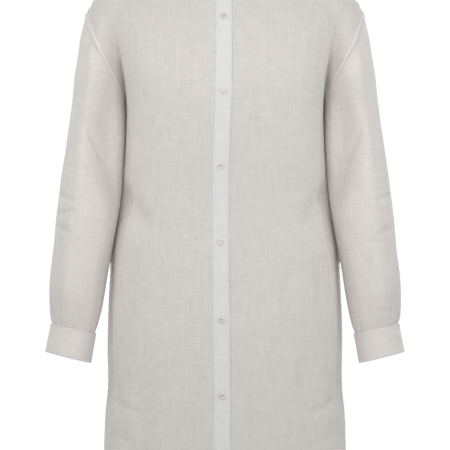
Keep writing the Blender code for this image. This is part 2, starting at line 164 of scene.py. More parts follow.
def smooth(rows, column, at):
    """The column's value at places along the first column, on a smooth curve through the rows."""
    x, y = next(iter(rows.values())), rows[column]
    slope = np.gradient(y, x)
    low = np.clip(np.searchsorted(x, at) - 1, 0, len(x) - 2)
    span = x[low + 1] - x[low]
    t = np.clip((at - x[low]) / span, 0, 1)
    start = (1 + 2 * t) * (1 - t) ** 2 * y[low] + t * (1 - t) ** 2 * span * slope[low]
    end = t**2 * (3 - 2 * t) * y[low + 1] + t**2 * (t - 1) * span * slope[low + 1]
    return start + end


def ease(t):
    """A soft step: 0 up to t = 0, and 1 from t = 1 on."""
    t = np.clip(t, 0, 1)
    return t * t * (3 - 2 * t)


def hump(distance, width):
    """A soft hump: 1 at no distance, and almost nothing from twice the width on."""
    return np.exp(-((distance / width) ** 2))


def armhole(turn):
    """Across and height of the armhole seam. The turn runs from 0 at the shoulder to 1 under the arm."""
    height = ARMHOLE_TOP + (UNDERARM - ARMHOLE_TOP) * (1 - np.cos(np.pi * turn)) / 2
    across = smooth(ARM, "centre", height) + smooth(ARM, "half_width", height) * np.cos(np.pi * turn)
    return across + smooth(ARMHOLE_SWAY, "outward", height), height


def side_edge(height):
    """How far out the body's panels reach: to the armhole seam, then down the side seam."""
    turn = np.arccos(1 - 2 * np.clip((height - ARMHOLE_TOP) / (UNDERARM - ARMHOLE_TOP), 0, 1)) / np.pi
    return np.where(height > UNDERARM, armhole(turn)[0], smooth(BODY, "half_width", height))


def top_edge(side, across):
    """The height of a panel's upper edge: the neckline, then the shoulder seam."""
    reach = np.clip(np.abs(across) / HIGH_POINT, 0, 1)
    front = -FRONT_NECK_DROP * (1 - reach**2) ** FRONT_NECK_ROUND
    back = -BACK_NECK_DROP * (1 - reach**2)
    neck = front if side == "front" else back
    return np.where(np.abs(across) < HIGH_POINT, neck, smooth(SHOULDER, "height", np.abs(across)))


def outline():
    """The outer line of the shoulder and the sleeve in the front view, as points a few millimetres apart."""
    across = np.linspace(0, SHOULDER["across"][-1], OUTLINE_POINTS["shoulder"])
    height = np.linspace(ARM["height"][-1], ARM["height"][0], OUTLINE_POINTS["sleeve"])
    sleeve = smooth(ARM, "centre", height) + smooth(ARM, "half_width", height)
    shoulder = np.stack([across, smooth(SHOULDER, "height", across)], -1)
    return np.concatenate([shoulder, np.stack([sleeve, height], -1)[1:]])


OUTLINE = outline()


def inside(across, height):
    """How far a point of the front view lies inside the outer line of the shoulder and sleeve."""
    start, run = OUTLINE[:-1], np.diff(OUTLINE, axis=0)
    away = np.stack([across, height], -1)[..., None, :] - start
    along = np.clip((away * run).sum(-1) / (run * run).sum(-1), 0, 1)
    return np.linalg.norm(away - along[..., None] * run, axis=-1).min(-1)


def fuller(power, height):
    """A section's power, raised beside the armhole, where the cloth is held out by the seam."""
    return power + ARMHOLE_FULLNESS * ease((height - UNDERARM) / ARMHOLE_FULL_RUN)


def torso_depth(side, across, height):
    """How far the body's cloth stands before or behind the plane of the side seams."""
    half_width, power = smooth(BODY, "half_width", height), fuller(SQUARENESS, height)
    face = (1 - np.clip(across / (half_width + FACE_BEYOND), 0, 1) ** power) ** (1 / power)
    beyond = np.clip(half_width - across, 0, None) / smooth(BODY, "side_lean", height)
    flank = SIDE_TURN * beyond ** (1 / SIDE_BOW)
    near = np.clip(0.5 + (flank - face) / (2 * TURN_SOFTNESS), 0, 1)
    section = np.clip(flank + (face - flank) * near - TURN_SOFTNESS * near * (1 - near), 0, None)
    fullest, bend = CHEST[side]["height"], CHEST[side]["bend"]
    rise = np.clip((height - fullest) / (smooth(SHOULDER, "height", across) - fullest), 0, 1)
    return smooth(BODY, side, height) * section * (1 - rise**bend) ** (1 / bend)


def arm_depth(across, height):
    """The same for the sleeve, and for the part of the panels that lies over the top of the arm."""
    centre, half_width = smooth(ARM, "centre", height), smooth(ARM, "half_width", height)
    fullest = centre + SLEEVE_SKEW * half_width
    inward = np.clip((fullest - across) / (half_width * (1 + SLEEVE_SKEW)), 0, 1)
    power = fuller(SLEEVE_SLOPE, height)
    inner = (1 - inward**power) ** (1 / power)
    on_shoulder = ease((SHOULDER["across"][-1] - across) / SHOULDER_BLEND)
    on_shoulder = on_shoulder * ease(1 + (height - ARMHOLE_TOP) / SHOULDER_FADE)
    radius = half_width * (1 - SLEEVE_SKEW)
    radius = radius + (SHOULDER_ROUND - radius) * on_shoulder
    outer = np.sqrt(1 - (1 - np.clip(inside(across, height) / radius, 0, 1)) ** 2)
    return smooth(ARM, "half_depth", height) * inner * outer


def panel_depth(side, across, height):
    """The body and the top of the arm together, with a tight crease where they meet."""
    across = np.abs(across)
    torso, arm = torso_depth(side, across, height), arm_depth(across, height)
    crease = CREASE + CREASE_OPEN * ease((height - UNDERARM) / CREASE_RUN)
    width = np.clip(np.maximum(torso, arm) / 2, 1e-6, crease)
    near = np.clip(1 - np.abs(torso - arm) / width, 0, 1)
    return np.maximum(torso, arm) + width * near**2 / 4


def crease_line(side):
    """Heights and how far out the body's cloth meets that over the arm there, found by halving."""
    height = np.linspace(UNDERARM, 0, CREASE_POINTS)
    near = smooth(ARM, "centre", height) - smooth(ARM, "half_width", height)
    far = smooth(BODY, "half_width", height)
    for _ in range(HALVINGS):
        middle = (near + far) / 2
        on_body = torso_depth(side, middle, height) > arm_depth(middle, height)
        near, far = np.where(on_body, middle, near), np.where(on_body, far, middle)
    return height, near


def panel_rows():
    """How far down each row of a panel lies: 0 at its upper edge and 1 at the hem."""
    below = UNDERARM - (UNDERARM + LENGTH) * np.linspace(0, 1, SIDE_ROWS + 1)[1:]
    heights = np.append(armhole(np.linspace(0, 1, ARMHOLE_ROWS + 1))[1], below)
    return (ARMHOLE_TOP - heights) / (ARMHOLE_TOP + LENGTH)


ROWS = panel_rows()


def half_panel(side, edge_across):
    """Half a panel, from its centre edge out to the armhole and side seam, as rows of points at +X."""
    start = float(edge_across(np.array(-FRONT_NECK_DROP)))
    neck = start + (HIGH_POINT - start) * np.sin(np.arange(NECK_COLUMNS) * np.pi / 2 / NECK_COLUMNS)
    reach = SHOULDER["across"][-1] - HIGH_POINT
    rest = HIGH_POINT + reach * np.sin(np.arange(SIDE_COLUMNS + 1) * np.pi / 2 / SIDE_COLUMNS)
    top = np.append(neck, rest)
    share = (top - start) / (top[-1] - start)
    height = top_edge(side, top) * (1 - ROWS[:, None]) - LENGTH * ROWS[:, None]
    centre = edge_across(height)
    width = side_edge(height) - centre
    neck_share, usual = share[NECK_COLUMNS], share[NECK_COLUMNS + CREASE_COLUMN]
    crease_at = np.interp(np.maximum(height, UNDERARM), *crease_line(side))
    crease = np.minimum((crease_at - centre) / width, CREASE_MOST)
    bend = ease((height[0] - height) / CREASE_RUN) * (1 - ease((UNDERARM - height) / CREASE_RUN))
    crease = usual + (crease - usual) * bend
    part = (share - neck_share) / (usual - neck_share)
    before = neck_share + part * (1 + CREASE_CROWD * bend * (1 - part)) * (crease - neck_share)
    beyond = crease + (share - usual) / (1 - usual) * (1 - crease)
    across = centre + width * np.where(share < neck_share, share, np.where(share < usual, before, beyond))
    depth = panel_depth(side, across, height)
    depth[0, NECK_COLUMNS:] = 0
    open_below = ease((VENT_TOP - height) / (VENT_TOP + LENGTH))
    depth = depth + VENT_SPREAD * open_below * np.exp(-depth / VENT_REACH)
    return np.stack([across, depth if side == "back" else -depth, height], -1)


def unit(vectors):
    """The same directions with a length of one."""
    return vectors / np.linalg.norm(vectors, axis=-1, keepdims=True)


def normals(points, flip):
    """The outward direction at each point of a grid whose rows run down the piece."""
    out = unit(np.cross(np.gradient(points, axis=0), np.gradient(points, axis=1)))
    return -out if flip else out


def arm_out(points):
    """The outward direction over the arm, from how its depth grows, which panel and sleeve share."""
    across, height, step = np.abs(points[..., 0]), points[..., 2], 0.5 * MM
    here = arm_depth(across, height) ** 2
    over = (here - arm_depth(across - step, height) ** 2) / (2 * step)
    up = (here - arm_depth(across, height - step) ** 2) / (2 * step)
    out = np.stack([-over * np.sign(points[..., 0]), points[..., 1], -up], -1)
    return out / np.clip(np.linalg.norm(out, axis=-1, keepdims=True), 1e-9, None)


SHARED_RUN = 20 * MM
SHARED_RISE = 30 * MM


def out_at_armhole(points, out, seam):
    """The outward directions, turned near the armhole seam into those that the two pieces share there."""
    shared = (1 - ease(seam / SHARED_RUN)) * ease((points[..., 2] - UNDERARM) / SHARED_RISE)
    return unit(out + (arm_out(points) - out) * shared[..., None])


def run(points, axis):
    """How far along the cloth each point lies from the grid's first row or column."""
    steps = np.linalg.norm(np.diff(points, axis=axis), axis=-1)
    far = np.cumsum(steps, axis=axis)
    return np.concatenate([np.zeros_like(np.take(far, [0], axis=axis)), far], axis=axis)


def to_end(points, axis):
    """How far along the cloth each point lies from the grid's last row or column."""
    far = run(points, axis)
    return np.take(far, [-1], axis=axis) - far


# The share of its length over which a fold fades in, and out again.
FOLD_FADE = 0.35


def folded(folds, across, height):
    """How deep the cloth dips into the listed folds, each with its own width on either side."""
    dip = np.zeros(np.broadcast(across, height).shape)
    for x1, z1, x2, z2, one_side, other_side, depth in zip(*folds.values(), strict=True):
        length = math.hypot(x2 - x1, z2 - z1)
        along = ((across - x1) * (x2 - x1) + (height - z1) * (z2 - z1)) / length**2
        off = ((across - x1) * (z2 - z1) - (height - z1) * (x2 - x1)) / length
        width = np.where(off > 0, one_side, other_side)
        fade = ease(along / FOLD_FADE) * ease((1 - along) / FOLD_FADE)
        dip += depth * fade * hump(off, width)
    return dip


# How uneven the hung cloth is: the size of the waves and how high they stand.
UNEVEN = table("size height", (90, 0.9), (38, 0.35), (17, 0.1))
UNEVEN_START = (7.3, 2.1, 0)


def unevenness(points):
    """Slow swells of the cloth, the same for two pieces where they meet."""
    rise = np.zeros(points.shape[:-1])
    flat = points.reshape(-1, 3)
    for size, height in zip(UNEVEN["size"], UNEVEN["height"], strict=True):
        waves = [noise.noise(Vector(p)) for p in (flat / size + UNEVEN_START).tolist()]
        rise += height * np.array(waves).reshape(rise.shape)
    return rise


def grain(points, out, up, corner):
    """Where each point lies on the uncut cloth, in metres: across it, then along it."""
    warp = unit(up - out * (up * out).sum(-1, keepdims=True))
    weft = np.cross(warp, out)
    across, down = np.diff(points, axis=1), np.diff(points, axis=0)
    x = np.cumsum((across * (weft[:, 1:] + weft[:, :-1]) / 2).sum(-1), axis=1)
    y = np.cumsum((across * (warp[:, 1:] + warp[:, :-1]) / 2).sum(-1), axis=1)
    first = np.cumsum((down[:, 0] * (warp[1:, 0] + warp[:-1, 0]) / 2).sum(-1))
    first = np.concatenate([[0], first])[:, None]
    x = np.concatenate([0 * first, x], axis=1)
    y = np.concatenate([first, first + y], axis=1)
    return np.stack([x, y], -1) + np.array(corner)


SHOULDER_LEAN = 3


def over_shoulder(out, towards):
    """The way the warp runs up the body and over the shoulder, towards the front or the back."""
    level = np.zeros(out.shape[:-1])
    return np.stack([level, towards * SHOULDER_LEAN * np.clip(out[..., 2], 0, 1), level + 1], -1)


LINEN = (0.765, 0.731, 0.701)
LINEN_DOUBLED = (0.87, 0.835, 0.803)
LINEN_FINISH = {"Roughness": 0.88, "Sheen_Weight": 0.12, "Sheen_Roughness": 0.5, "Specular_IOR_Level": 0.25}
LINEN_BUMP = 0.6
# The threads are too fine to show from a step away. What shows is slubs, the thicker stretches of yarn.
THREAD = 0.52 * MM
WEAVE_RISE = 0.10
SLUBS = table("width length", (2.2, 26), (4.0, 50), (1.2, 12))
SLUB_SHARE = (0.40, 0.28, 0.32)
SLUB_SEED = {"warp": 3.7, "weft": 9.1}
SLUB_NOISE = {"Scale": 1.0, "Detail": 1.5, "Roughness": 0.5}
SLUB_TONE = 0.58
SLUB_RISE = 0.26
SLUB_STRAY = 0.12
CLOUD_NOISE = {"Scale": 1 / (24 * MM), "Detail": 2.0, "Roughness": 0.55}
CLOUD_TONE = 0.04
DOUBLED_RISE = 0.35
DOUBLED_EDGE = 0.4 * MM


def shader_nodes(owner):
    """Ways to add nodes to a material or world, and to set or link the values of its own surface.

    A value is named as its socket is, or by an underscore and the socket's number.
    """
    owner.use_nodes = True
    tree = owner.node_tree

    def fill(node, values):
        for name, value in values.items():
            socket = node.inputs[int(name[1:]) if name[0] == "_" else name.replace("_", " ")]
            if isinstance(value, bpy.types.NodeSocket):
                tree.links.new(value, socket)
            else:
                socket.default_value = value
        return node

    def add(kind, settings=(), **values):
        made = tree.nodes.new(kind)
        for name, value in dict(settings).items():
            setattr(made, name, value)
        return fill(made, values)

    def maths(operation, a, b=0.0):
        return add("ShaderNodeMath", {"operation": operation}, _0=a, _1=b).outputs[0]

    def surface(**values):
        fill(tree.nodes.get("Principled BSDF") or tree.nodes["Background"], values)

    return add, maths, surface


def linen(name, painted_light=1.0, slubby=1.0, doubled=LINEN_DOUBLED):
    """Plain-woven, slubby, washed linen, lighter where the cloth lies double. A factor above one paints extra
    light on the whole piece.
    """
    made = bpy.data.materials.new(name)
    add, maths, surface = shader_nodes(made)
    place = add("ShaderNodeUVMap", {"uv_map": "weave"}).outputs[0]
    split = add("ShaderNodeSeparateXYZ", Vector=place)
    x, y = split.outputs[0], split.outputs[1]

    def yarn(across, along, seed):
        """Uneven yarn: noise drawn out one way."""
        spot = add("ShaderNodeCombineXYZ", X=across, Y=along, Z=seed).outputs[0]
        return add("ShaderNodeTexNoise", Vector=spot, **SLUB_NOISE).outputs[0]

    slub = -0.5
    for k, (width, length) in enumerate(zip(SLUBS["width"], SLUBS["length"], strict=True)):
        warp = yarn(maths("DIVIDE", x, width), maths("DIVIDE", y, length), SLUB_SEED["warp"] + k)
        weft = yarn(maths("DIVIDE", y, width), maths("DIVIDE", x, length), SLUB_SEED["weft"] + k)
        both = maths("MULTIPLY", maths("ADD", warp, weft), 0.5 * SLUB_SHARE[k])
        slub = maths("ADD", slub, both)
    cloud = add("ShaderNodeTexNoise", {"noise_dimensions": "2D"}, Vector=place, **CLOUD_NOISE).outputs[0]
    over, under = (maths("SINE", maths("MULTIPLY", way, math.pi / THREAD)) for way in (x, y))
    layers = add("ShaderNodeAttribute", {"attribute_name": "doubled"}).outputs[2]
    layers = add("ShaderNodeMapRange", Value=layers, From_Min=-DOUBLED_EDGE, From_Max=DOUBLED_EDGE).outputs[0]

    # Scaling by the factor paints extra light on the whole piece's colour; it is not the cloth's own tone.
    single, double = ((*[c * painted_light for c in colour], 1) for colour in (LINEN, doubled))
    base = add("ShaderNodeMix", {"data_type": "RGBA"}, _0=layers, _6=single, _7=double).outputs[2]
    uneven = maths("MULTIPLY", slub, SLUB_TONE * slubby)
    uneven = maths("ADD", uneven, maths("MULTIPLY", maths("SUBTRACT", cloud, 0.5), CLOUD_TONE))
    uneven = maths("ADD", uneven, 1.0)
    colour = add("ShaderNodeVectorMath", {"operation": "SCALE"}, Vector=base, Scale=uneven).outputs[0]
    rise = maths("MULTIPLY", slub, SLUB_RISE * slubby / SLUB_STRAY)
    rise = maths("ADD", rise, maths("MULTIPLY", maths("MULTIPLY", over, under), WEAVE_RISE))
    rise = maths("ADD", rise, maths("MULTIPLY", layers, DOUBLED_RISE))
    bump = add("ShaderNodeBump", Strength=LINEN_BUMP, Distance=MM, Height=rise).outputs[0]
    surface(Base_Color=colour, Normal=bump, **LINEN_FINISH)
    return made


CLOTH = 0.8 * MM
SINGLE = -1.0
DOUBLE = 1.0


def add_piece(name, mesh, material):
    """Gives a mesh its material and adds it to the shirt."""
    mesh.shade_smooth()
    mesh.materials.append(material)
    piece = bpy.data.objects.new(name, mesh)
    bpy.context.scene.collection.objects.link(piece)
    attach(piece, "root")
    return piece


def cloth(name, points, place, doubled, material, flip=False, thickness=CLOTH):
    """A cut piece: the surface through rows of points, given the cloth's thickness on its inner side."""
    rows, columns = points.shape[:2]
    index = np.arange(rows * columns).reshape(rows, columns)
    corners = [index[:-1, :-1], index[1:, :-1], index[1:, 1:], index[:-1, 1:]]
    faces = np.stack(corners[::-1] if flip else corners, -1).reshape(-1, 4)
    mesh = bpy.data.meshes.new(name)
    mesh.from_pydata(points.reshape(-1, 3).tolist(), [], faces.tolist())
    weave = mesh.uv_layers.new(name="weave")
    weave.data.foreach_set("uv", place.reshape(-1, 2)[faces.ravel()].astype(np.float32).ravel())
    layers = mesh.attributes.new("doubled", "FLOAT", "POINT")
    layers.data.foreach_set("value", np.broadcast_to(doubled, (rows, columns)).astype(np.float32).ravel())
    piece = add_piece(name, mesh, material)
    wall = piece.modifiers.new("wall", "SOLIDIFY")
    wall.thickness = thickness
    wall.offset = -1
    return piece


THREAD_COLOUR = (0.765, 0.75, 0.725)
THREAD_ROUGHNESS = 0.6
THREAD_TWIST = {"Scale": 2200.0, "Detail": 1.0}
THREAD_SHADE = {"From_Min": 0.3, "From_Max": 0.7, "To_Min": 0.9, "To_Max": 1.05}
THREAD_BUMP = {"Strength": 0.4, "Distance": 0.1 * MM}
STITCH = {"pitch": 2.9 * MM, "length": 2.1 * MM, "radius": 0.17 * MM, "sides": 5, "rings": 4}
# A stitch's ends keep a little of its thickness and dip into the cloth, and its middle stands half proud.
STITCH_ENDS = 1.05
STITCH_PROUD = 0.5
STITCH_DIP = 1.1


def thread():
    """Cotton sewing thread, a little shinier than the cloth and finely mottled by its twist."""
    made = bpy.data.materials.new("thread")
    add, maths, surface = shader_nodes(made)
    spot = add("ShaderNodeTexCoord").outputs["Object"]
    twist = add("ShaderNodeTexNoise", Vector=spot, **THREAD_TWIST).outputs[0]
    shade = add("ShaderNodeMapRange", Value=twist, **THREAD_SHADE).outputs[0]
    colour = add("ShaderNodeVectorMath", {"operation": "SCALE"}, Vector=THREAD_COLOUR, Scale=shade).outputs[0]
    bump = add("ShaderNodeBump", Height=twist, **THREAD_BUMP).outputs[0]
    surface(Base_Color=colour, Normal=bump, Roughness=THREAD_ROUGHNESS)
    return made


THREAD_MATERIAL = thread()


def stitches(name, lines):
    """Rows of separate stitches along lines of (points, outward directions), lying half in the cloth."""
    pitch, length, radius, sides, rings = STITCH.values()
    along = np.linspace(-1, 1, rings)
    turn = np.arange(sides) * 2 * np.pi / sides
    girth = radius * np.sqrt(STITCH_ENDS - along**2)[:, None]
    template = np.stack(
        [
            np.broadcast_to(along[:, None] * length / 2, (rings, sides)),
            girth * np.cos(turn),
            girth * np.sin(turn) + radius * (STITCH_PROUD - STITCH_DIP * along**2)[:, None],
        ],
        -1,
    ).reshape(-1, 3)
    ring = np.arange(sides)
    near, beside = ring, (ring + 1) % sides
    quads = np.stack([near, beside, beside + sides, near + sides], -1)
    faces = [face for k in range(rings - 1) for face in (quads + k * sides).tolist()]
    faces += [list(range(sides))[::-1], [(rings - 1) * sides + k for k in range(sides)]]
    points, polygons = [], []
    for path, out in lines:
        far = np.append(0, np.cumsum(np.linalg.norm(np.diff(path, axis=0), axis=-1)))
        for at in np.arange(pitch, far[-1] - pitch / 2, pitch):
            spot, outward, back, ahead = (
                np.array([np.interp(s, far, values[:, k]) for k in range(3)])
                for s, values in ((at, path), (at, out), (at - length / 2, path), (at + length / 2, path))
            )
            x = (ahead - back) / np.linalg.norm(ahead - back)
            z = outward - x * (outward @ x)
            z /= np.linalg.norm(z)
            polygons += [[len(points) * len(template) + k for k in face] for face in faces]
            points.append(spot + template @ np.array([x, np.cross(z, x), z]))
    mesh = bpy.data.meshes.new(name)
    mesh.from_pydata(np.concatenate(points).tolist(), [], polygons)
    return add_piece(name, mesh, THREAD_MATERIAL)


def line_across(points, out, distance, at):
    """A line over a grid: on each of its rows, where the given distance has the given value."""
    path, outward = [], []
    for p, n, d in zip(points, out, distance, strict=True):
        order = np.argsort(d)
        path.append([np.interp(at, d[order], p[order, k]) for k in range(3)])
        outward.append([np.interp(at, d[order], n[order, k]) for k in range(3)])
    return np.array(path), np.array(outward)


def line_along(points, out, distance, at, rows=slice(None), columns=slice(None)):
    """The same on each column of a grid, or of some of its rows and columns."""
    return line_across(*(a[rows, columns].swapaxes(0, 1) for a in (points, out, distance)), at)


FELLED = 9.5 * MM
FELLED_RISE = 1.9 * MM
FELLED_LESS = 0.75
FELLED_LESS_FROM = -150 * MM
FELLED_LESS_RUN = 30 * MM
FELLED_FLATNESS = 0.6
HEM = 20 * MM
VENT_HEM = 7 * MM
STITCH_INSET = 1.3 * MM
SEAM_ROLL = 1.0 * MM
SEAM_ROLL_RUN = 1.3 * MM
PUCKER = 0.5 * MM
PUCKER_PITCH = 7.5 * MM
PUCKER_SECOND = {"share": 0.6, "longer": 1.7}


def puckers(far):
    """The small uneven ripples that a line of stitches leaves, along its length."""
    turn = 2 * np.pi * far / PUCKER_PITCH
    return PUCKER * (np.sin(turn) + PUCKER_SECOND["share"] * np.sin(turn / PUCKER_SECOND["longer"] + 1))


def felled_at(height):
    """How high a felled armhole edge stands: fully beside the arm and less on the shoulder."""
    return 1 - FELLED_LESS * ease((height - FELLED_LESS_FROM) / FELLED_LESS_RUN)


def sewn(points, out, edge_distance, edge_far, felled):
    """Moves a panel's points at a sewn edge, which rolls under. A felled edge stands up and puckers."""
    roll = -SEAM_ROLL * hump(edge_distance, SEAM_ROLL_RUN)
    band = np.sin(np.pi * np.clip(edge_distance / FELLED, 0, 1)) ** FELLED_FLATNESS
    roll = roll + felled * (FELLED_RISE * band + puckers(edge_far) * hump(edge_distance - FELLED / 2, FELLED))
    return points + out * roll[..., None]


BACK_FOLDS = table(
    "x1 z1 x2 z2 one_side other_side depth",
    (158, -384, 98, -468, 12, 20, 4.2),
    (150, -430, 62, -500, 8, 14, 1.8),
    (30, -52, 132, -164, 16, 10, 2.2),
    (52, -110, 60, -330, 20, 13, 1.6),
    (112, -150, 118, -330, 9, 14, 1.5),
    (44, -520, 60, -960, 15, 24, 3.8),
    (118, -560, 138, -980, 13, 20, 3.2),
    (84, -610, 92, -960, 18, 10, -2.2),
    (160, -250, 126, -305, 7, 10, 2.0),
    (20, -455, 118, -438, 5, 8, 0.9),
    (188, -730, 132, -762, 6, 9, 2.2),
)
MIRROR = np.array((-1, 1, 1))
SEAM_CALM = 40 * MM
TOP_CALM = 25 * MM
BACK_LEAN = {"share": 0.25, "pitch": 70 * MM}
TOP_ROWS = slice(60)
HEM_ROWS = slice(-20, None)
FAR_OFF = 1.0


def from_shoulder(points):
    """How far down the cloth lies from the shoulder seam. The neckline counts as far off it."""
    return run(points, 0) + FAR_OFF * (np.abs(points[:1, :, 0]) < HIGH_POINT)


def calm(points, seam):
    """How freely the cloth folds: not at all at a seam or its upper edge, and fully away from them."""
    return ease(seam / SEAM_CALM) * ease(run(points, 0) / TOP_CALM)


back_half = half_panel("back", lambda height: 0 * height)
points = np.concatenate([back_half[:, :0:-1] * MIRROR, back_half], axis=1)
out = normals(points, flip=True)
seam = np.minimum(run(points, 1), to_end(points, 1))
shoulder, below = from_shoulder(points), to_end(points, 0)
out = out_at_armhole(points, out, seam)
lean = 1 + BACK_LEAN["share"] * np.sign(points[..., 0]) * np.sin(points[..., 2] / BACK_LEAN["pitch"])
dip = calm(points, seam) * lean * folded(BACK_FOLDS, np.abs(points[..., 0]), points[..., 2])
points = points + out * (unevenness(points) - dip)[..., None]
points = sewn(points, out, seam, points[..., 2], felled_at(points[..., 2]))
points = sewn(points, out, shoulder, points[..., 0], felled=1)
out = normals(points, flip=True)
doubled = np.maximum.reduce([FELLED - seam, FELLED - shoulder, HEM - below])
place = grain(points, out, over_shoulder(out, -1), (0.7, 0.3))
back = cloth("back_cloth", points, place, doubled, linen("linen_back"), flip=True)
middle = points.shape[1] // 2
lines = [
    line_across(points[:, half], out[:, half], seam[:, half], FELLED - STITCH_INSET)
    for half in (slice(None, middle), slice(middle, None))
]
lines += [
    line_along(points, out, shoulder, FELLED - STITCH_INSET, TOP_ROWS, half)
    for half in (slice(None, SIDE_COLUMNS - 2), slice(1 - SIDE_COLUMNS, None))
]
lines.append(line_along(points, out, below, HEM - STITCH_INSET, HEM_ROWS))
back_sewing = stitches("back_stitching", lines)
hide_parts("back")


# The fronts
# Two pieces cut to match the back. The right one carries the placket along its front edge, and the left one
# lies under it with the buttons. Both hang from the shoulder seams.

PLACKET_WIDTH = 26 * MM
UNDERLAP = 11 * MM
OVERLAP = 4 * MM
LAP = 1.7 * MM
UNDER_PLACKET = 1.15 * MM
FELLED_FROM = -222 * MM
FELLED_FROM_RUN = 40 * MM
BUTTONED_RUN = 30 * MM
BUTTONED_SWELL = 0.3
FRONT_LEAN = {"share": 0.2, "pitch": 60 * MM}
SET_BACK_RUN = 28 * MM
# The way the buttoned edge wavers from side to side on its way down.
CENTRE_FRONT = table(
    "height across",
    (-835, -4),
    (-734, -4.4),
    (-607, -5.6),
    (-480, -7),
    (-353, -6.6),
    (-228, -2.2),
    (-70, -2),
)
FRONT_FOLDS = table(
    "x1 z1 x2 z2 one_side other_side depth",
    (184, -368, 118, -474, 16, 24, 8),
    (176, -700, 172, -770, 10, 6, 1.8),
    (192, -730, 130, -760, 5, 8, 2.6),
    (186, -786, 140, -808, 7, 9, 1.6),
    (58, -610, 74, -960, 16, 22, 2.6),
    (126, -560, 142, -980, 14, 20, 3.0),
    (98, -470, 104, -700, 10, 16, 1.2),
    (150, -470, 158, -640, 8, 12, 1.6),
    (60, -200, 40, -262, 9, 7, 0.6),
    (28, -690, 20, -735, 6, 9, 1.2),
)


def placket_edge(offset):
    """The line that runs down the front at a set distance from the middle of the placket."""
    return lambda height: smooth(CENTRE_FRONT, "across", height) + offset


def front(name, half, mirror, set_back, corner):
    """One front: hung, creased, sewn at its edges, and set back where the placket lies over it."""
    half = half + np.stack([0 * set_back, set_back, 0 * set_back], -1)
    half[0, NECK_COLUMNS:, 1] = 0
    points = half * (mirror, 1, 1)
    out = normals(points, flip=mirror < 0)
    seam, shoulder, below = to_end(points, 1), from_shoulder(points), to_end(points, 0)
    out = out_at_armhole(points, out, seam)
    buttoned = ease(run(points, 1) / BUTTONED_RUN)
    lean = 1 + FRONT_LEAN["share"] * mirror * np.sin(points[..., 2] / FRONT_LEAN["pitch"])
    dip = calm(points, seam) * buttoned * lean * folded(FRONT_FOLDS, half[..., 0], points[..., 2])
    swell = unevenness(points) * (BUTTONED_SWELL + (1 - BUTTONED_SWELL) * buttoned)
    points = points + out * (swell - dip)[..., None]
    felled = felled_at(points[..., 2]) * ease((points[..., 2] - FELLED_FROM) / FELLED_FROM_RUN)
    points = sewn(points, out, seam, points[..., 2], felled)
    points = sewn(points, out, shoulder, points[..., 0], felled=0)
    out = normals(points, flip=mirror < 0)
    vent = np.where(points[..., 2] < VENT_TOP, VENT_HEM - seam, SINGLE)
    armhole_band = np.where(points[..., 2] > UNDERARM, FELLED - seam, SINGLE)
    doubled = np.maximum.reduce([vent, armhole_band, HEM - below])
    place = grain(points, out, over_shoulder(out, 1), corner)
    piece = cloth(name, points, place, doubled, linen(f"linen_{name}"), flip=mirror < 0)
    rows = points[:, -1, 2]
    lines = [
        line_across(*(a[chosen] for a in (points, out, seam)), at - STITCH_INSET)
        for at, chosen in ((FELLED, rows > UNDERARM + 2 * MM), (VENT_HEM, rows < VENT_TOP))
    ]
    lines.append(line_along(points, out, below, HEM - STITCH_INSET, HEM_ROWS))
    return piece, stitches(f"{name}_stitching", lines)


right_half = half_panel("front", lambda height: PLACKET_WIDTH / 2 - OVERLAP - placket_edge(0)(height))
beyond = right_half[..., 0] + placket_edge(-PLACKET_WIDTH / 2)(right_half[..., 2])
set_back = UNDER_PLACKET * (1 - ease(beyond / SET_BACK_RUN))
front_right, right_sewing = front("front_right_cloth", right_half, -1, set_back, (0.1, 1.4))
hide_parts("front_right")

left_half = half_panel("front", placket_edge(-UNDERLAP))
beyond = left_half[..., 0] - placket_edge(PLACKET_WIDTH / 2)(left_half[..., 2])
set_back = LAP * (1 - ease(beyond / SET_BACK_RUN))
front_left, left_sewing = front("front_left_cloth", left_half, 1, set_back, (1.9, 0.2))
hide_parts("front_left")


# The placket
# A strip folded double and sewn down the right front's edge, so it is paler and firmer than the single cloth.
# Its outer edge is free and lifts a little between the buttons, which throws a thin shadow on the left front.

PLACKET_COLUMNS = 22
PLACKET_LINEN = (0.838, 0.832, 0.828)
PLACKET_SLUBBY = 0.6
PLACKET_CLOTH = 1.0 * MM
PLACKET_STITCH = 2.6 * MM
PLACKET_LIFT = 0.7 * MM
PLACKET_LIFT_RUN = 12 * MM
PLACKET_SWELL = 0.3
PLACKET_ROLL = 0.5 * MM
PLACKET_ROLL_RUN = 1 * MM
# The strength of the puckers at the sewn edge and at the free one, and how far those are shifted.
PLACKET_PUCKERS = ((0.5, 0), (0.35, 3 * MM))
PLACKET_PUCKER_RUN = 2.5 * MM
UPWARD = np.array((0.0, 0.0, 1.0))
FIRST_BUTTON = -109 * MM
BUTTON_PITCH = 123.3 * MM
BUTTONS = 6

offset = -PLACKET_WIDTH / 2 * np.cos(np.arange(PLACKET_COLUMNS + 1) * np.pi / PLACKET_COLUMNS)
top = placket_edge(0)(np.array(-FRONT_NECK_DROP)) + offset
height = top_edge("front", top) * (1 - ROWS[:, None]) - LENGTH * ROWS[:, None]
across = placket_edge(0)(height) + offset
points = np.stack([across, -panel_depth("front", across, height), height], -1)
out = normals(points, flip=False)
sewn_edge, free_edge = PLACKET_WIDTH / 2 + offset, PLACKET_WIDTH / 2 - offset
between = np.sin(np.pi * (height - FIRST_BUTTON) / BUTTON_PITCH) ** 2
lift = PLACKET_LIFT * between * (1 - ease(free_edge / PLACKET_LIFT_RUN)) + PLACKET_SWELL * unevenness(points)
for edge, (share, shift) in zip((sewn_edge, free_edge), PLACKET_PUCKERS, strict=True):
    lift = lift - PLACKET_ROLL * hump(edge, PLACKET_ROLL_RUN)
    lift = lift + share * puckers(height + shift) * hump(edge - PLACKET_STITCH, PLACKET_PUCKER_RUN)
points = points + out * lift[..., None]
out = normals(points, flip=False)
placket_points, placket_out = points, out
place = grain(points, out, UPWARD, (2.6, 0.5))
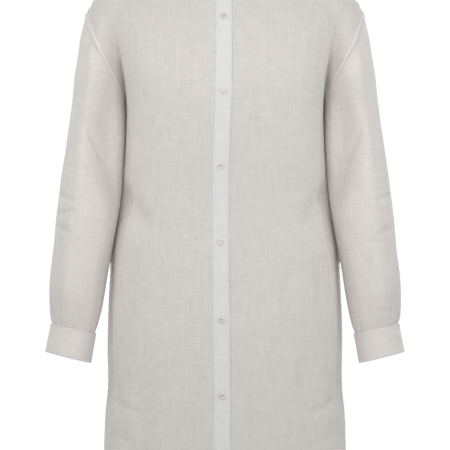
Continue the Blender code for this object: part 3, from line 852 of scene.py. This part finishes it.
firm = linen("linen_placket", slubby=PLACKET_SLUBBY, doubled=PLACKET_LINEN)
placket = cloth("placket_cloth", points, place, DOUBLE, firm, thickness=PLACKET_CLOTH)
lines = [
    line_across(points, out, np.broadcast_to(edge, height.shape), PLACKET_STITCH)
    for edge in (sewn_edge, free_edge)
]
placket_sewing = stitches("placket_stitching", lines)
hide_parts("placket")


# The sleeves
# Each is cut in one piece, closed by a seam under the arm and set into the dropped armhole. The cloth is
# eased in with small puckers there, falls in soft folds over the elbow, and is gathered into the cuff.

SLEEVE_COLUMNS = 128
SLEEVE_ROWS = 158
# Painted light: the sleeves' linen is drawn lighter than the body's same linen, for the light that falls on
# them.
SLEEVE_PAINTED_LIGHT = 1.10
ARM_ROOM = 0.9 * MM
ARM_ROOM_LEAST = 0.25
ARM_ROOM_RUN = 30 * MM
ARM_FREE = -470 * MM
SWAY_FADE = 0.15
SLIM = 0.8 * MM
SLIM_RUN = 40 * MM
CUFF_PINCH = 1.6 * MM
CUFF_PINCH_RUN = 9 * MM
CUFF_INSIDE = 0.03
# The part of the sleeve that the cuff draws in, and its gathers. Their spacing and height vary round the
# sleeve, each by a share with so many waves to a turn.
GATHER = 0.14
GATHERS = 15
GATHER_HEIGHT = 1.05 * MM
GATHER_RUN = 46 * MM
GATHER_START = 9 * MM
GATHER_SPACING = ((0.35, 9), (0.2, 23))
GATHER_VARIES = (0.35, 17)
EASING = {"height": 0.55 * MM, "count": 26, "drift": 13, "middle": 5 * MM, "run": 6 * MM}
FOLD_ROUND = 0.5
FOLDS_BELOW = 14 * MM
FOLDS_ABOVE = 12 * MM
TUCKS = {"armhole": (3 * MM, 1.3 * MM), "cuff": (3 * MM, 0.2 * MM)}
CUFF = table(
    "along outer_x outer_z inner_x inner_z half_depth forward",
    (0, 285.9, -612.2, 211.2, -628.2, 29.5, 33),
    (50, 295, -658, 219.6, -676.8, 31, 35),
)
SLEEVE_FOLDS = {
    "front": table(
        "x1 z1 x2 z2 one_side other_side depth",
        (221, -118, 232, -190, 4, 6, 3.8),
        (230, -160, 240, -262, 5, 7, 2.8),
        (217, -122, 211, -200, 4, 6, 1.5),
        (236, -276, 176, -364, 12, 8, 4.2),
        (190, -225, 174, -440, 14, 42, 16),
        (284, -398, 240, -412, 4, 6, 2.6),
        (280, -436, 238, -424, 3.5, 5, 2.2),
        (284, -450, 244, -470, 5, 4, 2.5),
        (262, -480, 228, -476, 4, 6, 1.4),
        (222, -380, 196, -430, 7, 9, 2.0),
        (256, -500, 262, -600, 12, 9, -1.6),
        (272, -556, 280, -640, 5, 7, 2.2),
        (238, -560, 236, -650, 6, 5, 2.0),
        (222, -520, 222, -600, 6, 8, 1.6),
    ),
    "back": table(
        "x1 z1 x2 z2 one_side other_side depth",
        (268, -366, 198, -396, 8, 11, 4.4),
        (264, -430, 200, -418, 7, 9, 3.2),
        (252, -330, 206, -338, 6, 9, 2.0),
        (258, -462, 214, -470, 5, 8, 1.8),
        (226, -120, 216, -230, 6, 9, 2.0),
        (270, -560, 262, -650, 6, 8, 3.0),
        (244, -560, 240, -650, 5, 7, 2.2),
        (236, -480, 250, -590, 12, 9, -1.4),
        (276, -290, 262, -345, 7, 9, 1.5),
    ),
}


def torso_side(depth, height):
    """How far out the body's side reaches, at a depth before (negative) or behind the side seams."""
    fullest = np.where(depth < 0, smooth(BODY, "front", height), smooth(BODY, "back", height))
    half_width, share = smooth(BODY, "half_width", height), np.clip(np.abs(depth) / fullest, 0, 1)
    face = (half_width + FACE_BEYOND) * (1 - share**SQUARENESS) ** (1 / SQUARENESS)
    return np.minimum(face, half_width - smooth(BODY, "side_lean", height) * (share / SIDE_TURN) ** SIDE_BOW)


def cuff_ring(along, turn):
    """A point of the cuff: along it from 0 at its seam to 1 at its edge, turning forward from outside."""
    upper, lower = ({name: values[k] for name, values in CUFF.items()} for k in (0, 1))
    at = {name: upper[name] * (1 - along) + lower[name] * along for name in CUFF}
    cos, sin = np.cos(2 * np.pi * turn), np.sin(2 * np.pi * turn)
    across = (at["outer_x"] + at["inner_x"]) / 2 + (at["outer_x"] - at["inner_x"]) / 2 * cos
    height = (at["outer_z"] + at["inner_z"]) / 2 + (at["outer_z"] - at["inner_z"]) / 2 * cos
    return np.stack([across, -at["forward"] - at["half_depth"] * sin, height], -1)


def sleeve_form():
    """Rows from the armhole seam to the cuff, each going round from under the arm by the front."""
    way = np.linspace(-1, 1, SLEEVE_COLUMNS + 1)
    turns, behind = np.abs(way), way > 0
    top = armhole(turns)[1]
    ring = cuff_ring(CUFF_INSIDE, np.where(behind, 2 - turns, turns) / 2)
    down = np.linspace(0, 1, SLEEVE_ROWS + 1)[:, None]
    height = top * (1 - down) + ring[:, 2] * down
    across = smooth(ARM, "centre", height) + smooth(ARM, "half_width", height) * np.cos(np.pi * turns)
    across = across + smooth(ARMHOLE_SWAY, "outward", top) * (1 - ease(down / SWAY_FADE))
    depth = arm_depth(across, height)
    depth[:, turns == 1] = 0
    depth[:, turns == 0] = 0
    depth = np.where(behind, depth, -depth) - smooth(ARM, "forward", height) * (height < UNDERARM)
    room = ARM_ROOM_LEAST + (1 - ARM_ROOM_LEAST) * ease((ARM_FREE - height) / ARM_ROOM_RUN)
    beside = torso_side(depth, height) + ARM_ROOM * room
    across = np.where(height < UNDERARM, np.maximum(across, beside), across)
    rows = np.stack([across, depth, height], -1)
    pull = ease((down - 1 + GATHER) / GATHER)[..., None]
    return rows + pull * (ring - rows[-1]), way, down


def gathers(way, above_cuff, mirror):
    """The uneven gathers that take the sleeve's width into its cuff."""
    (share, waves), (finer_share, finer_waves) = GATHER_SPACING
    count = way * GATHERS / 2 + share * np.sin(way * waves + mirror) + finer_share * np.sin(way * finer_waves)
    share, waves = GATHER_VARIES
    height = GATHER_HEIGHT * (1 - share + share * np.sin(way * waves + 2 * mirror))
    fade = np.exp(-above_cuff / GATHER_RUN) * ease(above_cuff / GATHER_START)
    return height * np.sin(2 * np.pi * count) * fade


def eased_in(way, from_armhole):
    """The small puckers where the sleeve's cap is eased into the armhole."""
    waves = np.sin(2 * np.pi * way * EASING["count"] + 2 * np.sin(way * EASING["drift"]))
    return EASING["height"] * waves * hump(from_armhole - EASING["middle"], EASING["run"])


def tucked(points, out, end, length, depth):
    """The grid with one more row beyond its first or last one, turned under the neighbouring piece."""
    near, far = (0, 1) if end == "armhole" else (-1, -2)
    away = unit(points[near] - points[far])
    row = points[near] + away * length - out[near] * depth
    return np.concatenate([row[None], points] if end == "armhole" else [points, row[None]])


form, way, down = sleeve_form()
for side, mirror in (("left", 1), ("right", -1)):
    points = form * (mirror, 1, 1)
    out = normals(points, flip=mirror < 0)
    from_armhole, above_cuff = run(points, 0), to_end(points, 0)
    seam = np.minimum(run(points, 1), to_end(points, 1))
    out = out_at_armhole(points, out, from_armhole)
    x, z = form[..., 0], form[..., 2]
    dip = np.where(way > 0, folded(SLEEVE_FOLDS["back"], x, z), folded(SLEEVE_FOLDS["front"], x, z))
    dip = dip * np.sin(np.pi * np.abs(way)) ** FOLD_ROUND
    dip = dip * ease(from_armhole / FOLDS_BELOW) * ease(above_cuff / FOLDS_ABOVE)
    dip = dip + CUFF_PINCH * hump(above_cuff, CUFF_PINCH_RUN) + SLIM * ease((UNDERARM - z) / SLIM_RUN)
    rise = unevenness(points) + gathers(way, above_cuff, mirror) + eased_in(way, from_armhole)
    points = points + out * (rise - dip)[..., None]
    points = sewn(points, out, from_armhole, points[..., 2], felled=0)
    points = sewn(points, out, seam, points[..., 2], felled=0)
    out = normals(points, flip=mirror < 0)
    up = np.broadcast_to(np.array((-0.06 * mirror, 0.06, 1.0)), points.shape)
    place = grain(points, out, up, (3.3 + mirror, 0.4 + mirror))
    place = np.concatenate([place[:1], place, place[-1:]])
    for end, tuck in TUCKS.items():
        points = tucked(points, out, end, *tuck)
    material = linen(f"linen_sleeve_{side}", SLEEVE_PAINTED_LIGHT)
    sleeve = cloth(f"sleeve_{side}_cloth", points, place, SINGLE, material, flip=mirror < 0)
    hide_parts(f"sleeve_{side}")


# The cuffs
# Each is a band of linen folded double over a firm interlining, wrapped round the wrist and lapped behind it,
# with its edges top-stitched and one button on the lap.

CUFF_LAP_DEG = 30
CUFF_LAP_START_DEG = 290
CUFF_LIFT_FROM = 0.62
CUFF_LIFT_RUN = 0.28
# Painted light: the cuffs' linen is drawn lighter than the body's same linen, for the light that falls on
# them.
CUFF_PAINTED_LIGHT = 1.13
CUFF_CLOTH = 1.5 * MM
CUFF_STITCH = 2.4 * MM
CUFF_SWELL = 0.25
CUFF_PUCKERS = {"share": 0.6, "middle": 3 * MM}
CUFF_RIDGE = {"height": 0.4 * MM, "middle": 1.6 * MM}
EDGE_ROLL = 0.5 * MM
EDGE_ROLL_RUN = 0.9 * MM
CUFF_COLUMNS = 150
CUFF_ROWS = 26
CUFF_CROWD = 0.35


def cuff_band(along, share):
    """The wrapped band: it starts under the lap behind the wrist and ends over its own beginning."""
    ring = cuff_ring(along, CUFF_LAP_START_DEG / 360 + share * (1 + CUFF_LAP_DEG / 360))
    away = unit(ring - (cuff_ring(along, 0) + cuff_ring(along, 0.5)) / 2)
    return ring + away * (LAP * ease((share - CUFF_LIFT_FROM) / CUFF_LIFT_RUN))[..., None]


def edge_distances(points):
    """How far each point lies from the grid's first and last row, and its first and last column."""
    return [run(points, 0), to_end(points, 0), run(points, 1), to_end(points, 1)]


def rolled(points, out, edges):
    """The points of a made-up band, with its edges rolled under."""
    return points - out * (EDGE_ROLL * hump(np.minimum.reduce(edges), EDGE_ROLL_RUN))[..., None]


cuff_grids = {}
even = np.linspace(0, 1, CUFF_COLUMNS + 1)
share = CUFF_CROWD * (1 - np.cos(np.pi * even)) / 2 + (1 - CUFF_CROWD) * even
down = (1 - np.cos(np.linspace(0, np.pi, CUFF_ROWS + 1))) / 2
for side, mirror in (("left", 1), ("right", -1)):
    points = np.array([cuff_band(along, share) for along in down]) * (mirror, 1, 1)
    out = normals(points, flip=mirror > 0)
    edges = edge_distances(points)
    middle = CUFF_PUCKERS["middle"]
    rise = CUFF_PUCKERS["share"] * puckers(edges[2]) * hump(edges[0] - middle, middle)
    middle = CUFF_RIDGE["middle"]
    rise = rise + CUFF_RIDGE["height"] * hump(edges[0] - middle, middle) + CUFF_SWELL * unevenness(points)
    points = rolled(points, out, edges) + out * rise[..., None]
    out = normals(points, flip=mirror > 0)
    cuff_grids[side] = points, out
    place = grain(points, out, UPWARD, (5 + mirror, 0.7))[..., ::-1]
    material = linen(f"linen_cuff_{side}", CUFF_PAINTED_LIGHT)
    cuff = cloth(f"cuff_{side}_cloth", points, place, SINGLE, material, mirror > 0, CUFF_CLOTH)
    lines = [line_along(points, out, edge, CUFF_STITCH) for edge in edges[:2]]
    lines += [line_across(points, out, edge, CUFF_STITCH) for edge in edges[2:]]
    cuff_sewing = stitches(f"cuff_{side}_stitching", lines)
    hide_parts(f"cuff_{side}")


# The collar band
# A stand of doubled linen on the neckline. Its right end laps over its left one and closes with a button; its
# upper corners are rounded and its edges are top-stitched.

COLLAR_HEIGHT = 30 * MM
COLLAR_LEAN = 0.2
COLLAR_TILT = 0.22
COLLAR_ROWS = 16
COLLAR_COLUMNS = 169
COLLAR_CORNER = 12 * MM
COLLAR_CLOTH = 1.3 * MM
COLLAR_STITCH = 2.2 * MM

right_neck = right_half[0, : NECK_COLUMNS + 1] * MIRROR
left_neck = left_half[0, : NECK_COLUMNS + 1][::-1] + (0, LAP, 0)
behind = back_half[0, : NECK_COLUMNS + 1]
strip = np.stack([across[0], -panel_depth("front", across[0], height[0]), height[0]], -1)
on_strip = right_neck[:, 0] > across[0, 0]
path = [strip[::-1], right_neck[~on_strip], (behind[::-1] * MIRROR)[1:], behind[1:-1], left_neck]
path = np.concatenate(path)
far = np.append(0, np.cumsum(np.linalg.norm(np.diff(path, axis=0), axis=-1)))
even = np.linspace(0, far[-1], COLLAR_COLUMNS + 1)
path = np.stack([np.interp(even, far, path[:, k]) for k in range(3)], -1)
up = unit(unit(path * (-1, -1, 0)) * COLLAR_LEAN + (0, -COLLAR_TILT, 1))
end = np.minimum(even, even[-1] - even)
cut = COLLAR_CORNER - np.sqrt(np.clip(COLLAR_CORNER**2 - np.clip(COLLAR_CORNER - end, 0, None) ** 2, 0, None))
share = (1 - np.cos(np.linspace(np.pi, 0, COLLAR_ROWS + 1))) / 2
points = path + up * (COLLAR_HEIGHT - cut)[:, None] * share[:, None, None]
out = normals(points, flip=True)
edges = edge_distances(points)
points = rolled(points, out, edges)
out = normals(points, flip=True)
collar_points, collar_out = points, out
place = grain(points, out, UPWARD, (6.5, 0.9))[..., ::-1]
firm = linen("linen_collar", doubled=PLACKET_LINEN)
collar = cloth("collar_band_cloth", points, place, DOUBLE, firm, flip=True, thickness=COLLAR_CLOTH)
lines = [line_along(points, out, edge, COLLAR_STITCH) for edge in edges[:2]]
collar_sewing = stitches("collar_band_stitching", lines)
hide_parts("collar_band")


# The buttons
# Pearly four-hole shirt buttons, turned with a raised rim and a dished middle, and sewn on with pale thread.
# Six close the placket, one the collar band and one each cuff, in buttonholes worked with close stitches.

BUTTON_RADIUS = 5.5 * MM
# From the middle of its face round its rim to the middle of its back, in shares of the radius and in mm.
BUTTON_OUTLINE = {
    "radius": (0, 0.42, 0.54, 0.62, 0.69, 0.77, 0.85, 0.92, 0.97, 1, 0.985, 0.93, 0.84, 0.7, 0),
    "height": (1.9, 1.92, 2.05, 2.3, 2.42, 2.36, 2.12, 1.76, 1.36, 0.95, 0.65, 0.3, 0.05, 0, 0),
}
BUTTON_STEPS = 56
BUTTON_MERGE = 0.01 * MM
BUTTON_SHARP_DEG = 38
BUTTON_GAP = 0.3 * MM
HOLE_RADIUS = 0.75 * MM
HOLE_OFFSET = 1.2 * MM
HOLE_SIDES = 20
HOLE_DEPTH = 6 * MM
PEARL = (0.91, 0.885, 0.855)
PEARL_SHADE = (0.68, 0.66, 0.64)
PEARL_BANDS = {"Scale": 260.0, "Detail": 2.0, "Lacunarity": 1.6, "Distortion": 1.4}
PEARL_SHARE = {"From_Min": 0.35, "From_Max": 0.7}
PEARL_BUMP = {"Strength": 0.15, "Distance": 0.1 * MM}
PEARL_FINISH = {"Roughness": 0.2, "Specular_IOR_Level": 0.8, "Coat_Weight": 0.9, "Coat_Roughness": 0.05}
# The thread through the holes: three strands on each side, bowed over the dish and sunk into the holes.
STRANDS = (-1, 0, 1)
STRAND_POINTS = 9
STRAND_LEVEL = 2.3 * MM
STRAND_PAST = 0.15 * MM
STRAND_BOW = 0.55 * MM
STRAND_SINK = 0.35 * MM
STRAND_APART = 0.3 * MM
STRAND_RADIUS = 0.17 * MM
BUTTONHOLE = 12.5 * MM
BUTTONHOLE_STITCHES = 34
BAR_HALF = 0.75 * MM
BAR_RADIUS = 0.24 * MM


def pearl():
    """Polished pearly plastic with cloudy bands in it."""
    made = bpy.data.materials.new("pearl_button")
    add, _, surface = shader_nodes(made)
    spot = add("ShaderNodeTexCoord").outputs["Object"]
    bands = add("ShaderNodeTexNoise", Vector=spot, **PEARL_BANDS).outputs[0]
    share = add("ShaderNodeMapRange", Value=bands, **PEARL_SHARE).outputs[0]
    ends = {"_6": (*PEARL_SHADE, 1), "_7": (*PEARL, 1)}
    colour = add("ShaderNodeMix", {"data_type": "RGBA"}, _0=share, **ends).outputs[2]
    bump = add("ShaderNodeBump", Height=bands, **PEARL_BUMP).outputs[0]
    surface(Base_Color=colour, Normal=bump, **PEARL_FINISH)
    return made


def button_mesh():
    """A turned disc with a rim and a dished middle, then four bored holes."""
    half = [(r * BUTTON_RADIUS, 0, h * MM) for r, h in zip(*BUTTON_OUTLINE.values(), strict=True)]
    profile = bpy.data.meshes.new("button_profile")
    profile.from_pydata(half, [(k, k + 1) for k in range(len(half) - 1)], [])
    blank = bpy.data.objects.new("button_blank", profile)
    bpy.context.scene.collection.objects.link(blank)
    turned = blank.modifiers.new("turned", "SCREW")
    turned.steps = turned.render_steps = BUTTON_STEPS
    turned.use_merge_vertices = True
    turned.merge_threshold = BUTTON_MERGE
    drill = bmesh.new()
    for x, y in ((1, 1), (1, -1), (-1, 1), (-1, -1)):
        size = {"radius1": HOLE_RADIUS, "radius2": HOLE_RADIUS, "depth": HOLE_DEPTH}
        made = bmesh.ops.create_cone(drill, cap_ends=True, segments=HOLE_SIDES, **size)
        bmesh.ops.translate(drill, verts=made["verts"], vec=(x * HOLE_OFFSET, y * HOLE_OFFSET, 0))
    drill_mesh = bpy.data.meshes.new("drill")
    drill.to_mesh(drill_mesh)
    drill.free()
    cutter = bpy.data.objects.new("drill", drill_mesh)
    bpy.context.scene.collection.objects.link(cutter)
    bored = blank.modifiers.new("bored", "BOOLEAN")
    bored.operation = "DIFFERENCE"
    bored.object = cutter
    bpy.context.view_layer.update()
    ready = bpy.data.meshes.new_from_object(blank.evaluated_get(bpy.context.evaluated_depsgraph_get()))
    for helper in (blank, cutter):
        bpy.data.objects.remove(helper)
    ready.shade_smooth()
    ready.set_sharp_from_angle(angle=math.radians(BUTTON_SHARP_DEG))
    ready.materials.clear()
    ready.materials.append(pearl())
    return ready


def at_nearest(points, out, spot):
    """The point of a grid nearest a spot, its outward direction, and the way down the piece there."""
    k, j = np.unravel_index(np.linalg.norm(points - spot, axis=-1).argmin(), points.shape[:2])
    down_piece = points[k + 1, j] - points[k - 1, j]
    return points[k, j], out[k, j], down_piece / np.linalg.norm(down_piece)


def sew_button(number, grid, spot, slit_down=True):
    """Lays a button on the cloth with its face out, threads it, and works the buttonhole beneath it."""
    points, out = grid
    place, outward, downward = at_nearest(points, out, spot)
    across_slit = np.cross(outward, downward)
    if not slit_down:
        downward, across_slit = across_slit, downward
    button = bpy.data.objects.new(f"{number}_pearl", button_shape)
    bpy.context.scene.collection.objects.link(button)
    button.location = Vector(place) + Vector(outward) * BUTTON_GAP
    button.rotation_euler = Vector(outward).to_track_quat("Z", "Y").to_euler()
    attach(button, "root")
    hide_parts(number)
    far = np.linspace(-1, 1, STRAND_POINTS)[:, None]
    bow = outward * (STRAND_BOW * (1 - far**4) - STRAND_SINK)
    strand = place + outward * STRAND_LEVEL + downward * far * (HOLE_OFFSET + STRAND_PAST) + bow
    for side in (1, -1):
        for number_across in STRANDS:
            aside = across_slit * (side * HOLE_OFFSET + number_across * STRAND_APART)
            strands.append((strand + aside, outward))
    half_bar = across_slit * BAR_HALF
    for s in np.linspace(-0.5, 0.5, BUTTONHOLE_STITCHES) * BUTTONHOLE:
        spot = place + downward * s
        near, normal, _ = at_nearest(points, out, spot)
        spot = spot + outward * ((near - spot) @ outward)
        for side in (1, -1):
            middle = spot + half_bar * side
            bars.append((np.array([middle - half_bar, middle + half_bar]), normal))


def short_threads(name, paths, radius, sides):
    """Threads that each follow a short path, as tubes with closed ends."""
    points, polygons = [], []
    turn = np.arange(sides) * 2 * np.pi / sides
    ring = np.arange(sides)
    start = 0
    for path, outward in paths:
        outward = np.broadcast_to(outward, path.shape)
        ahead = unit(np.gradient(path, axis=0))
        side = unit(np.cross(outward, ahead))
        lift = np.cross(ahead, side)
        round_path = side[:, None] * np.cos(turn)[:, None] + lift[:, None] * np.sin(turn)[:, None]
        points.append((path[:, None] + radius * round_path).reshape(-1, 3))
        for k in range(len(path) - 1):
            near, beside = start + k * sides + ring, start + k * sides + (ring + 1) % sides
            polygons += np.stack([near, beside, beside + sides, near + sides], -1).tolist()
        last = start + (len(path) - 1) * sides
        polygons += [(start + ring)[::-1].tolist(), (last + ring).tolist()]
        start = last + sides
    mesh = bpy.data.meshes.new(name)
    mesh.from_pydata(np.concatenate(points).tolist(), [], polygons)
    return add_piece(name, mesh, THREAD_MATERIAL)


button_shape = button_mesh()
strands, bars = [], []
for k in range(BUTTONS):
    height = np.array(FIRST_BUTTON - k * BUTTON_PITCH)
    across = placket_edge(0)(height)
    spot = np.stack([across, -panel_depth("front", across, height), height])
    sew_button(f"button_{k + 1}", (placket_points, placket_out), spot)
for side, mirror in (("left", 1), ("right", -1)):
    middle_of_lap = 1 - CUFF_LAP_DEG / (360 + CUFF_LAP_DEG) / 2
    spot = cuff_band(0.5, np.array(middle_of_lap)) * (mirror, 1, 1)
    sew_button(f"button_cuff_{side}", cuff_grids[side], spot, slit_down=False)
middle = np.argmin(np.abs(even - PLACKET_WIDTH / 2))
spot = collar_points[COLLAR_ROWS // 2, middle]
sew_button("button_collar", (collar_points, collar_out), spot, slit_down=False)
short_threads("button_threads", strands, STRAND_RADIUS, sides=6)
short_threads("buttonhole_stitches", bars, BAR_RADIUS, sides=5)


# The studio
# A pale floor as far below as the wearer's feet would be, a white surround, a large soft light in front, one
# high on each side before and one behind, and the camera where the photo was taken from.

FLOOR_BELOW = 1420 * MM
FLOOR_RADIUS = 9.0
FLOOR_SIDES = 96
FLOOR_GREY = 0.86
FLOOR_ROUGHNESS = 0.7
# The floor glows and the surround is brighter where the camera sees them, so that both look white.
FLOOR_GLOW = 0.42
SURROUND_LIGHT = 0.283
SURROUND_SEEN = 1.05
# Where each light stands and points, for the wearer's left of a pair: metres, and watts.
FRONT_LIGHT = {"place": (0, -1.3, -0.1), "aim": (0, 0, -0.3), "size": (0.9, 0.7), "power": 6.7}
SIDE_LIGHT = {"place": (1.7, -0.9, 1.0), "aim": (0.15, 0, -0.3), "size": (0.8, 0.8), "power": 11.5}
BACK_LIGHT = {"place": (1.7, 1.5, 0.8), "aim": (0.15, 0, -0.35), "size": (1.0, 1.0), "power": 20}
CAMERA_DISTANCE = 6.0
CAMERA_HEIGHT = -450.5 * MM
FRAME_WIDTH = 742.5 * MM
SENSOR = 36.0
WHITE = (1, 1, 1, 1)

floor_mesh = bmesh.new()
bmesh.ops.create_circle(floor_mesh, cap_ends=True, segments=FLOOR_SIDES, radius=FLOOR_RADIUS)
floor_data = bpy.data.meshes.new("floor")
floor_mesh.to_mesh(floor_data)
floor_mesh.free()
floor = bpy.data.objects.new("floor", floor_data)
floor.location.z = -FLOOR_BELOW
bpy.context.scene.collection.objects.link(floor)
pale = bpy.data.materials.new("pale_floor")
add, maths, surface = shader_nodes(pale)
glow = maths("MULTIPLY", add("ShaderNodeLightPath").outputs["Is Camera Ray"], FLOOR_GLOW)
surface(Base_Color=(FLOOR_GREY, FLOOR_GREY, FLOOR_GREY, 1), Roughness=FLOOR_ROUGHNESS)
surface(Emission_Color=WHITE, Emission_Strength=glow)
floor_data.materials.append(pale)

surround = bpy.data.worlds.new("studio")
bpy.context.scene.world = surround
add, _, surface = shader_nodes(surround)
seen = add("ShaderNodeLightPath").outputs["Is Camera Ray"]
strength = add("ShaderNodeMapRange", Value=seen, To_Min=SURROUND_LIGHT, To_Max=SURROUND_SEEN).outputs[0]
surface(Color=WHITE, Strength=strength)


def soft_light(name, light, side=1):
    """A large softbox, facing the point that it is aimed at. Its place is mirrored on the other side."""
    lamp = bpy.data.lights.new(name, "AREA")
    lamp.shape = "RECTANGLE"
    lamp.size, lamp.size_y = light["size"]
    lamp.energy = light["power"]
    stand = bpy.data.objects.new(name, lamp)
    bpy.context.scene.collection.objects.link(stand)
    place, aim = (Vector(light[end]) * Vector((side, 1, 1)) for end in ("place", "aim"))
    stand.location = place
    stand.rotation_euler = (aim - place).to_track_quat("-Z", "Y").to_euler()
    stand.visible_camera = False


soft_light("softbox_front", FRONT_LIGHT)
for hand, side in (("left", 1), ("right", -1)):
    soft_light(f"softbox_{hand}", SIDE_LIGHT, side)
    soft_light(f"softbox_back_{hand}", BACK_LIGHT, side)

eye = bpy.data.cameras.new("camera")
camera = bpy.data.objects.new("camera", eye)
bpy.context.scene.collection.objects.link(camera)
camera.location = (0, -CAMERA_DISTANCE, CAMERA_HEIGHT)
camera.rotation_euler = (math.pi / 2, 0, 0)
eye.sensor_width = SENSOR
eye.lens = SENSOR * CAMERA_DISTANCE / FRAME_WIDTH
bpy.context.scene.camera = camera
bpy.context.scene.view_settings.view_transform = "Standard"
